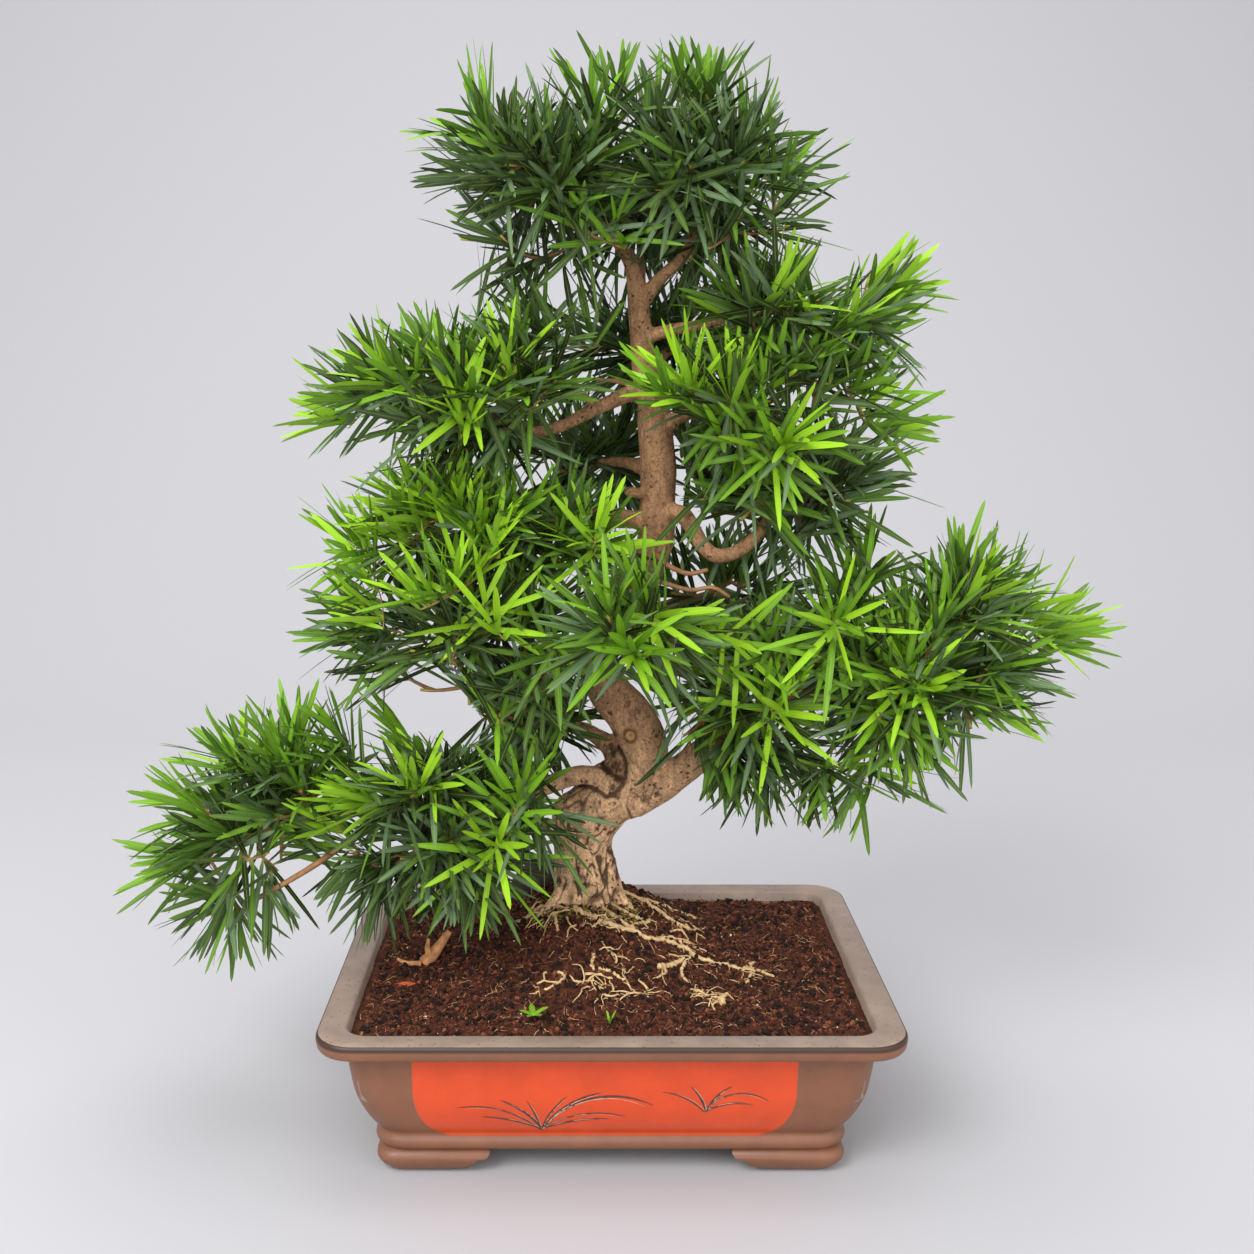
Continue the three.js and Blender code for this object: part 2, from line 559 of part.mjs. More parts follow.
// Leaves on the outer half of a three-sided twig, each out of the next of its sides: nearly straight on
// at its end and square to it further back
function leavesAlong(core, twig, lines, random) {
  const direction = twig.getTangentAt(1);
  const { normals: [first], binormals: [second] } = twig.computeFrenetFrames(1);
  const leaves = [];
  for (let i = 0; i < LEAF_TRIES && leaves.length < LEAVES_PER_TWIG; i += 1) {
    const back = (i % LEAVES_PER_TWIG) / LEAVES_PER_TWIG;
    const turn = Math.PI / 2 + i * Math.PI * 2 / 3 + (random() - 0.5) * SIDE_SWING;
    const forward = LEAF_FORWARD * (1 - back);
    const outward = Math.sqrt(1 - forward * forward);
    const heading = direction.clone().multiplyScalar(forward)
      .addScaledVector(first, outward * Math.cos(turn))
      .addScaledVector(second, outward * Math.sin(turn));
    heading.z += LEAF_LIFT;
    heading.normalize();
    const length = LEAF_LENGTH * (1 - LEAF_SHRINK * i / LEAF_TRIES) * (1 - LEAF_VARIATION * random());
    const seat = twig.getPointAt(LAST_LEAF - LEAFY_SHARE * back);
    const root = seat.clone().addScaledVector(heading, -LEAF_SINK);
    const tip = seat.clone().addScaledVector(heading, length);
    const line = new THREE.Line3(seat.addScaledVector(heading, LEAF_STALK), tip);
    const leaf = leafGeometry(root, tip, random() * Math.PI);
    if (!leafFits(core, leaf, root) || !clearOfLeaves(line, lines)) continue;
    leaves.push(solidOf(leaf));
    lines.push(line);
  }
  return leaves;
}

// Shoot ends spread evenly over the core, turn by turn, some of them deeper in
function shootEnds(core, count, random) {
  const start = random() * Math.PI * 2;
  const ends = [];
  for (let i = 0; i < count; i += 1) {
    const height = 1 - 2 * (i + 0.5) / count;
    const around = Math.sqrt(1 - height * height);
    const angle = start + i * GOLDEN_ANGLE;
    const outward = new THREE.Vector3(around * Math.cos(angle), around * Math.sin(angle), height);
    const depth = SHALLOWEST_SHOOT + (1 - SHALLOWEST_SHOOT) * random();
    const point = outward.clone().multiply(core.radii).multiplyScalar(depth).add(core.centre);
    const lift = new THREE.Vector3(0, 0, SHOOT_LIFT);
    ends.push({ point, direction: outward.divide(core.radii).normalize().add(lift).normalize() });
  }
  return ends;
}

// A straight twig from the nearest wood to a shoot's end, which draws in to the core until the way is clear
function twigTo(core, end, joints) {
  for (let i = 0; i < SHOOT_TRIES; i += 1) {
    const twig = joints.filter((joint) => joint.distanceTo(end.point) > SHORTEST_TWIG)
      .sort((a, b) => a.distanceTo(end.point) - b.distanceTo(end.point))
      .slice(0, NEAREST_JOINTS)
      .map((joint) => new THREE.LineCurve3(joint, end.point))
      .find((line) => TWIG_SHARES.every((share) => allowed(core, line.getPointAt(share), LIMB_MARGIN)));
    if (twig) {
      joints.splice(joints.indexOf(twig.v1), 1);
      return twig;
    }
    end.point.lerp(core.centre, SHOOT_DRAW_IN);
  }
  return null;
}

// One mass: a stem on from the limb's tip, twigs to each shoot end from the nearest wood, and leaves
function makeMass(core) {
  const { mass } = core;
  const random = seededRandom(mass.seed);
  const limb = LIMBS.find((entry) => entry.name === mass.limb);
  const limbCurve = curveThrough(limb.line);
  const tip = limbCurve.getPointAt(1);
  const heading = limbCurve.getTangentAt(1);
  const foot = tip.clone().addScaledVector(heading, CLEARANCE);
  const span = foot.distanceTo(core.centre);
  const stemCurve = new THREE.QuadraticBezierCurve3(
    foot, foot.clone().addScaledVector(heading, span * 0.5), core.centre);
  const stemRadius = taperedRadius([limb.radii[1] * STEM_SHARE, TWIG_RADIUS]);
  const wood = [solidOf(sweptLimb(stemCurve, stemRadius, STEM_SIDES, STEM_ROWS))];
  const joints = STEM_JOINTS.map((share) => stemCurve.getPointAt(share));
  const ends = shootEnds(core, mass.shoots, random);
  if (mass.furthest) {
    const goal = new THREE.Vector3(...mass.furthest);
    const outward = goal.clone().sub(core.centre).normalize();
    ends.push({ point: goal.clone().addScaledVector(outward, -LEAF_LENGTH * 0.9), direction: outward, goal });
  }
  ends.sort((a, b) => a.point.distanceTo(foot) - b.point.distanceTo(foot));
  const leaves = [];
  const lines = [];
  for (const end of ends) {
    const twig = twigTo(core, end, joints);
    if (!twig) continue;
    wood.push(solidOf(sweptLimb(twig, () => TWIG_RADIUS, 3, 1)));
    joints.push(...TWIG_JOINTS.map((share) => twig.getPointAt(share)));
    if (end.goal) {
      const root = twig.getPointAt(LAST_LEAF);
      leaves.push(solidOf(leafGeometry(root, end.goal, 0)));
      lines.push(new THREE.Line3(end.point, end.goal));
    }
    leaves.push(...leavesAlong(core, twig, lines, random));
  }
  return mainBody(wasm.Manifold.union([...wood, ...leaves]));
}

function makeRoots(roots, trunkRoom, soilRoom) {
  const tubes = roots.tubes.map(({ radii, plan }) => {
    const route = curveThrough(plan.map(([x, y]) => [x, y, 0]));
    const steps = plan.length + 1;
    const radiusAt = taperedRadius(radii);
    const line = Array.from({ length: steps + 1 }, (_, i) => {
      const { x, y } = route.getPointAt(i / steps);
      return [x, y, soilSurface(x, y) + CLEARANCE + radiusAt(i / steps)];
    });
    return solidOf(sweptLimb(curveThrough(line), radiusAt, ROOT_SIDES, steps));
  });
  return mainBody(wasm.Manifold.union(tubes).subtract(trunkRoom).subtract(soilRoom));
}

function makeStone(trunkRoom, soilRoom) {
  const random = seededRandom(STONE.seed);
  const facets = new THREE.IcosahedronGeometry(1, 1).deleteAttribute('normal').deleteAttribute('uv');
  const ball = mergeVertices(facets);
  const position = ball.attributes.position;
  for (let i = 0; i < position.count; i += 1) {
    const size = STONE.smallest + (STONE.largest - STONE.smallest) * random();
    position.setXYZ(i, position.getX(i) * size, position.getY(i) * size, position.getZ(i) * size);
  }
  ball.scale(...STONE.radii);
  ball.translate(...STONE.centre);
  return mainBody(solidOf(ball).subtract(trunkRoom).subtract(soilRoom));
}

const LEAF_COLOURS = [COLOURS.leafDark, COLOURS.leafMid, COLOURS.leafBright];

function build() {
  addNode('pot', makePot(), COLOURS.clay, 0.6);
  const soil = makeSoil();
  addNode('soil', soil, COLOURS.soil, 0.95);
  const trunkRoom = makeLimbs();
  const soilRoom = soil.translate([0, 0, CLEARANCE]);
  for (const roots of ROOTS) {
    addNode(roots.name, makeRoots(roots, trunkRoom, soilRoom), COLOURS.root, 0.9);
  }
  addNode('stone', makeStone(trunkRoom, soilRoom), COLOURS.stone, 0.8);
  cores.forEach((core, i) => addNode(core.mass.name, makeMass(core), LEAF_COLOURS[i % 3], 0.55));
}

build();

export default plant;
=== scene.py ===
"""A podocarpus bonsai in its rectangular glazed pot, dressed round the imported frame."""
import math

import bmesh
import bpy
import numpy as np
from bpy.props import FloatProperty, FloatVectorProperty, IntProperty, PointerProperty
from bpy.types import Operator, Panel, PropertyGroup
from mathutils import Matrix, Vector, noise


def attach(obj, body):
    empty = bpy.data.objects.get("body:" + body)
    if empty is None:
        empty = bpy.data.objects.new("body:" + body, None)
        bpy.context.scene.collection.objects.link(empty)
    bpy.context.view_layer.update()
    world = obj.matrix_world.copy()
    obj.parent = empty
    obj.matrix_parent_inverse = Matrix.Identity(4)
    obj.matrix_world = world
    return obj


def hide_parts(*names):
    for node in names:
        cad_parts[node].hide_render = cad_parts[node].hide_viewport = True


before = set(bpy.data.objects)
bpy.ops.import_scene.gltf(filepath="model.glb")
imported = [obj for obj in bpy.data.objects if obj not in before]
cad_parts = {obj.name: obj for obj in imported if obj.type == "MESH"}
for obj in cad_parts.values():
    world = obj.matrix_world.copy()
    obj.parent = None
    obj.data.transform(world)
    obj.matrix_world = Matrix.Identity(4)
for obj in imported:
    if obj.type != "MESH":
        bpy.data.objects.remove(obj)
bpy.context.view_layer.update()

bl_info = {
    "name": "Potted podocarpus bonsai",
    "version": (1, 0, 0),
    "blender": (4, 5, 0),
    "location": "3D View > Sidebar > Bonsai",
    "description": "Models the pot, soil, bark, twigs and leaves of a podocarpus bonsai",
    "category": "Add Mesh",
}

MM = 0.001
BODY = "root"
GOLDEN_ANGLE = math.pi * (3 - math.sqrt(5))

# Sizes are in millimetres, except where a comment says metres.
# Pot: rows of its section are inset from the rim's outline, and height
POT_HALF = (175.0, 130.0)
RIM_CORNER = 23.0
CORNER_STEPS = 8
RIM_SIDE = (0.5, 92.4)
RIM_ROWS = [(0.0, 95.5), (0.1, 98.4), (0.5, 99.4), (1.4, 100.0)]
LIP_INSET = 9.0
LIP_ROWS = [(15.4, 99.8), (16.6, 99.2), (17.4, 98.2), (18.6, 94.0), (25.0, 84.0), (26.5, 60.0), (31.0, 42.0),
            (40.0, 30.0)]
UNDER_RIM_ROWS = [(1.2, 91.0), (3.0, 90.2), (6.8, 89.8), (14.6, 88.4), (15.8, 87.4)]
BODY_LINE = [(16.0, 84.0), (16.4, 76.0), (17.5, 67.0), (19.7, 54.0), (23.5, 43.0), (27.6, 34.5), (30.6, 30.0)]
BODY_ROWS = 14
MOULDING_ROWS = [
    (31.6, 28.8), (32.2, 27.4), (32.0, 25.6), (30.8, 24.2), (30.2, 22.0), (30.6, 19.6), (32.0, 17.6),
    (34.0, 16.5)]
FOOT_TOP = 18.0
FOOT_START = (37.0, FOOT_TOP)
FOOT_ROWS = [(36.0, 16.4), (33.6, 15.0), (32.0, 13.4), (31.2, 11.6), (31.0, 9.6), (31.8, 7.0), (33.4, 4.4),
             (35.6, 2.0), (37.6, 0.6), (39.0, 0.0)]
FOOT_CORNER = 12.0
FOOT_SOLE = 19.0
FOOT_INSET = 31.0
FRONT_FOOT = 70.0
SIDE_FOOT = 52.0
FOOT_SCROLL = [(0.0, 14.0), (0.05, 11.6), (0.12, 10.2), (0.2, 10.6), (0.27, 9.4), (0.33, 6.6), (0.42, 4.6),
               (0.54, 3.6), (0.66, 3.4), (0.8, 2.2), (0.92, 0.2), (1.0, -2.0)]
SCROLL_LENGTH = 32.0
GAP_REACH = 400.0
# Sharp edges are rounded by a width, where they turn by more than an angle in degrees
BODY_ROUNDING = (0.25, 50)
FEET_ROUNDING = (0.7, 35)
SMOOTH_ANGLE = 40
# Dried soil lies on the lip and the inner wall, past an inset and above a height, and on the rim's top
DUSTED_LIP = (LIP_INSET, 89.0)
DUSTED_WALL = (23.0, 50.0)
DUSTED_TOP = 99.9

# Glazed panel on the front, in metres: how its middle, half width and edges lie, where its front and its
# top edge fade in, and the radii of its corners. The rim's dark line fades in between two heights
PANEL_MIDDLE = -0.004
PANEL_HALF = 0.114
PANEL_FOOT = 0.0266
PANEL_TOP = 0.0883
PANEL_FRONT = (-0.09, -0.092)
PANEL_EDGE = (0.0886, 0.088)
PANEL_FOOT_CORNER = (0.022, 0.036)
PANEL_TOP_CORNER = (0.009, 0.007)
RIM_LINE = (0.0958, 0.0974)

# Tufts of grass on the panel: root across and up, then each blade's heading at its root and at its tip, in
# degrees from upright, and its length
GRASS_TUFTS = [
    ((-42, 32), [(-38, -100, 56), (-58, -88, 38), (-24, -66, 36), (-6, -30, 25), (14, 44, 32), (28, 118, 78),
                 (46, 108, 56), (62, 92, 42), (22, 76, 48)]),
    ((56, 48), [(-36, -84, 30), (-10, -44, 20), (16, 60, 24), (34, 124, 44), (52, 108, 30)]),
]
STROKE_STEPS = 14
STROKE_STAND = 0.16
# Strokes: colour, how far they stand aside, width, and share of each blade's length. The pale set is painted
# highlight, lines of light beside the dark strokes
STROKES = [("grass_strokes", 0x4E3A34, 0.0, 0.74, 1.0), ("grass_painted_highlights", 0xC99A80, 0.7, 0.24, 0.92)]

# Soil: its edge, the mound that falls away from the trunk's foot, and what lies on it
TRUNK_FOOT = (-14.0, 42.0, 125.0)
SOIL_EDGE = 96.0
SOIL_HALF = (157.0, 112.0)
MOUND_TOP_RADIUS = 24.0
MOUND_RUN_FRONT = 66.0
MOUND_RUN_BACK = 32.0
MOUND_RUN_SIDE = 46.0
SOIL_GRID = (250, 178)
SKIRT_DEPTH = 12.0
SKIRT_TAPER = (0.95, 0.93, 1.0)
BARE_RADIUS = 22.0
FIBRE_HALF = (153.0, 108.0)
FIBRE_POINTS = 6
# Middle and half sizes of the ground that crumbs lie on, and of the mossy ground round the trunk's foot
ALL_SOIL = (0.0, 0.0, 152.0, 107.0)
MOSS_PLACES = (-14.0, 26.0, 34.0, 22.0)
CRUMB_POINTS = np.array([(1, 0, 0), (-1, 0, 0), (0, 1, 0), (0, -1, 0), (0, 0, 1), (0, 0, -1),
                         (0.62, 0.62, 0.5), (-0.62, 0.55, -0.5), (0.5, -0.62, -0.55), (-0.55, -0.6, 0.6)])
# Crumbs: colour, share of all, seed, smallest and largest radius, ground, grain of the colour, its contrast
CRUMBS = [
    ("crumbs_dark", 0x1F110C, 0.34, 3, 0.45, 3.0, ALL_SOIL, 2.0, 0.35),
    ("crumbs_brown", 0x562E1E, 0.42, 5, 0.45, 2.4, ALL_SOIL, 2.0, 0.35),
    ("crumbs_red", 0x7C4630, 0.22, 7, 0.45, 2.0, ALL_SOIL, 2.0, 0.35),
    ("pale_grit", 0xD8C8AC, 0.014, 17, 0.45, 1.2, ALL_SOIL, 2.0, 0.35),
    ("moss", 0x6E6628, 0.035, 19, 0.6, 2.2, MOSS_PLACES, 1.429, 0.4),
]
# Fibres: colour, share of all, seed, longest, and radius
FIBRES = [
    ("fibres_dark", 0x4A281B, 0.4, 23, 9.0, 0.32),
    ("fibres_brown", 0x8A5438, 0.45, 29, 8.0, 0.26),
    ("fibres_pale", 0xCFA074, 0.15, 31, 9.0, 0.25),
]

# Trunk: its centre line, its radius against height, and the shoulder over the lowest arm
TRUNK_LINE = [
    (-14, 42, 125), (-17, 42, 150), (-16, 42, 174), (-4, 41, 194), (14, 39, 213), (23, 36, 231),
    (16, 36, 252), (1, 38, 271), (-7, 41, 289), (-4, 42, 305), (9, 40, 333), (24, 36, 357), (30, 33, 374),
    (31, 30, 397), (31, 28, 423), (29, 27, 445), (27, 26, 464), (22, 25, 483), (19, 23, 508),
    (17, 22, 530)]
TRUNK_TAPER = [
    (125, 24), (138, 21.5), (155, 19.8), (176, 20.5), (196, 22), (213, 19.5), (231, 17.6), (252, 16),
    (271, 14.4), (289, 13.4), (333, 12.6), (374, 12), (423, 11.6), (450, 11), (470, 9.4), (490, 7.8),
    (530, 6.6)]
SHOULDER = ((-22, 41, 184), 17)
TRUNK_SIDES = 24
# Flares of the trunk's foot, each from its side down into the soil, as long as its wave makes it
FLARES = 9
FLARE_RADII = (8.5, 4.5)
FLARE_REACH = 27
FLARE_WAVE = 7
FLARE_STEPS = 14
FLARE_SIDES = 12
# Two stubs at the back where boughs were pruned
STUB_STEPS = 12
STUB_SIDES = 14
PRUNED_STUBS = [((8, 7), [(6, 48, 214), (3, 56, 224), (-1, 62, 233)]),
                ((4.4, 3.2), [(29, 27, 402), (20, 22, 405), (10, 18, 407)])]
# Limbs: radius at both ends, and centre line
LIMB_SIDES = 16
LIMBS = {
    "low_right_bough": ((14.5, 6), [
        (-6, 40, 188), (24, 36, 200), (46, 29, 217), (64, 22, 234), (92, 10, 258), (124, 2, 275),
        (160, 0, 283)]),
    "low_right_branch": ((5, 3.4), [(84, 14, 250), (88, 22, 262), (90, 27, 274)]),
    "low_left_bough": ((7.6, 4), [
        (8, 38, 204), (-2, 33, 212), (-19, 27, 216), (-35, 22, 213), (-59, 17, 205), (-86, 12, 201),
        (-120, 8, 201), (-160, 4, 200), (-200, 2, 196)]),
    "low_left_branch": ((4.4, 3), [(-84, 13, 201), (-90, 0, 203), (-95, -12, 201)]),
    "back_left_bough": ((8, 3.6), [
        (16, 40, 206), (8, 52, 218), (-8, 68, 232), (-30, 82, 238), (-48, 90, 238)]),
    "back_right_bough": ((7, 3.6), [(0, 42, 300), (14, 58, 312), (34, 78, 320), (52, 94, 322)]),
    "mid_left_low_bough": ((7.4, 4), [
        (-6, 40, 300), (-22, 30, 300), (-45, 14, 300), (-66, 2, 304), (-84, -6, 310)]),
    "centre_front_bough": ((5.4, 3.2), [
        (16, 38, 344), (16, 20, 346), (14, -4, 344), (14, -30, 338), (15, -52, 335)]),
    "mid_left_high_bough": ((6.6, 3.8), [
        (30, 32, 382), (14, 27, 388), (-4, 20, 391), (-26, 12, 389), (-50, 6, 387), (-70, 2, 386)]),
    "mid_right_low_bough": ((6.2, 3.8), [
        (34, 28, 393), (46, 20, 392), (53, 14, 383), (59, 10, 373), (67, 8, 367), (79, 6, 369), (91, 6, 378),
        (99, 7, 388), (103, 8, 398)]),
    "back_mid_bough": ((6, 3.4), [(31, 29, 415), (22, 46, 420), (8, 66, 422), (-6, 82, 420)]),
    "mid_right_high_bough": ((5.6, 3.4), [(31, 27, 440), (40, 22, 451), (53, 13, 458), (66, 4, 463)]),
    "upper_left_bough": ((5.8, 3.4), [
        (27, 26, 474), (16, 23, 470), (-9, 18, 459), (-32, 12, 448), (-48, 8, 445), (-64, 4, 450)]),
    "back_high_bough": ((4.8, 3), [(24, 25, 480), (30, 42, 488), (38, 58, 494), (44, 72, 496)]),
    "upper_right_bough": ((4.8, 3), [
        (19, 23, 502), (36, 15, 507), (56, 6, 510), (76, -2, 512), (90, -6, 513)]),
    "right_leader": ((5, 3.2), [(19, 22, 522), (30, 20, 538), (44, 15, 551), (52, 10, 566), (56, 8, 580)]),
    "back_leader": ((4.6, 3), [(19, 23, 515), (19, 36, 534), (20, 48, 556), (20, 55, 574)]),
    "left_leader": ((6, 3.4), [(17, 22, 526), (13, 20, 548), (3, 17, 563), (-12, 12, 575), (-24, 8, 584)]),
}

# The pruned knot's place and radius
KNOT = (14.1, 19.8, 245.3)
KNOT_RADIUS = 4.6
# Creases and cracks on the front, carved in and darkened with painted shade, as points across and up: half
# width in millimetres, then the line
CREASES = [
    (1.9, [(-34, 204.5), (-25, 207), (-17, 208.2), (-10.8, 207.8), (-5.7, 206), (-1.6, 203.2), (4.5, 206.3),
           (8.2, 210.6), (9.6, 215)]),
    (1.5, [(-6, 222.5), (1.4, 218), (8, 214.6)]),
    (1.7, [(10.4, 216), (10.2, 226.5), (6, 234), (2, 239)]),
    (1.3, [(-6.9, 159.6), (-5.2, 151.3), (-2.4, 140.7)]),
    (1.1, [(-0.1, 151.3), (-1.8, 146.6), (-3.5, 144.2)]),
    (1.3, [(0.9, 160.7), (3.2, 157.2), (6.6, 150.1), (7.8, 140.7)]),
]
CREASE_DEPTH = 1.9
# Dark pits and stained spots on the front, partly painted shade in the pits and on the shaded wood behind the
# trunk: across, up, radius, and how dark, from 0 to 1
STAINS_AND_SHADE = [
    (-5.6, 187.2, 3.8, 0.8), (-7.7, 180.2, 1.8, 0.9), (-2.5, 179.1, 1.6, 0.9), (4.7, 180.2, 1.6, 0.9),
    (1.1, 174.8, 2.3, 0.9), (-22, 178.6, 1.8, 0.9), (-20, 174.8, 3.6, 0.7), (-14.8, 172.1, 6.1, 0.5),
    (-28.1, 215.9, 1.8, 0.8), (-14.8, 212.7, 2, 0.7), (2.5, 209.5, 2.7, 0.9), (0.8, 259.4, 1.8, 0.9),
    (32.1, 204.2, 2.7, 0.8), (-31.2, 183.9, 2, 0.8), (17.5, 261, 6.1, 0.5), (12.4, 267.2, 5.1, 0.5),
    (4.4, 244.3, 2.7, 0.6), (31.8, 244.3, 1.6, 0.8), (29.9, 227.5, 3.1, 0.6), (44.1, 230.7, 2.7, 0.8),
    (33, 222.2, 2, 0.8), (-25.1, 203.2, 2, 0.6), (-21, 151.6, 3.5, 0.8), (0.6, 162.4, 2, 0.8),
    (-20.4, 145.4, 5.6, 0.7), (-14.7, 141.2, 2.9, 0.8), (-31.6, 166.6, 1.8, 0.9), (-11.4, 129.9, 5.6, 0.7),
    (3.2, 150.7, 1.8, 0.8), (-26, 129.9, 3.3, 0.6), (4.4, 134.7, 2.9, 0.8),
    (4.9, 222.2, 6, 0.75), (6, 215.5, 4.4, 0.85), (2.6, 229.5, 4, 0.6), (-1, 220, 4, 0.7),
]
# How far back the creases and the stained spots reach, with their painted shade
CREASED_FRONT = 48.0
STAIN_AND_SHADE_FRONT = 60.0

# Foliage masses: the limb they grow on, shoots, seed, core centre and radii, furthest tip, and how much
# fresh growth they carry, from 0 to 1
MASSES = {
    "top_left_foliage": ("left_leader", 6, 11, (-40, 0, 592), (34, 36, 24), None, 0.15),
    "top_right_foliage": ("right_leader", 6, 12, (64, 0, 594), (34, 36, 24), (57, 10, 675), 0.1),
    "top_back_foliage": ("back_leader", 5, 13, (18, 58, 590), (42, 22, 24), None, 0.15),
    "upper_left_foliage": ("upper_left_bough", 8, 21, (-86, 2, 474), (60, 44, 18), None, 0.5),
    "upper_right_foliage": ("upper_right_bough", 6, 22, (106, -8, 512), (38, 36, 14), None, 0.55),
    "back_high_foliage": ("back_high_bough", 5, 23, (30, 92, 496), (50, 24, 18), None, 0.1),
    "mid_right_high_foliage": ("mid_right_high_bough", 6, 31, (88, -14, 462), (44, 36, 14), None, 0.6),
    "mid_right_low_foliage": ("mid_right_low_bough", 6, 32, (122, 4, 408), (38, 38, 16), None, 0.4),
    "back_mid_foliage": ("back_mid_bough", 5, 33, (-22, 104, 420), (50, 24, 20), (-22, 180, 424), 0.1),
    "mid_left_high_foliage": ("mid_left_high_bough", 8, 41, (-86, 0, 386), (60, 44, 18), None, 0.85),
    "mid_left_low_foliage": ("mid_left_low_bough", 8, 42, (-90, -18, 326), (60, 46, 18), None, 0.45),
    "centre_front_foliage": ("centre_front_bough", 4, 43, (16, -84, 332), (26, 24, 12), (14, -180, 330), 0.6),
    "back_right_foliage": ("back_right_bough", 5, 44, (78, 100, 330), (46, 26, 22), None, 0.1),
    "back_left_foliage": ("back_left_bough", 5, 51, (-66, 94, 238), (36, 28, 18), None, 0.1),
    "low_right_inner_foliage": ("low_right_branch", 8, 52, (100, 16, 280), (36, 38, 40), None, 0.55),
    "low_right_outer_foliage": ("low_right_bough", 12, 53, (202, 0, 297), (54, 44, 50), (326, 8, 309), 0.65),
    "low_left_inner_foliage": ("low_left_branch", 9, 54, (-106, -20, 198), (46, 40, 36), None, 0.45),
    "low_left_outer_foliage": ("low_left_bough", 9, 55, (-232, 0, 184), (30, 38, 44), (-326, 8, 156), 0.55),
}
# Directions of a tuft
UP = (0, -0.45, 1)
FACING = (0, -1, 0.15)
UP_LEFT = (-0.7, -0.35, 0.75)
UP_RIGHT = (0.7, -0.35, 0.75)
LEFT = (-1, -0.2, 0.15)
RIGHT = (1, -0.2, 0.15)
DOWN = (0, -0.5, -1)
DOWN_LEFT = (-0.6, -0.4, -0.7)
DOWN_RIGHT = (0.6, -0.4, -0.7)


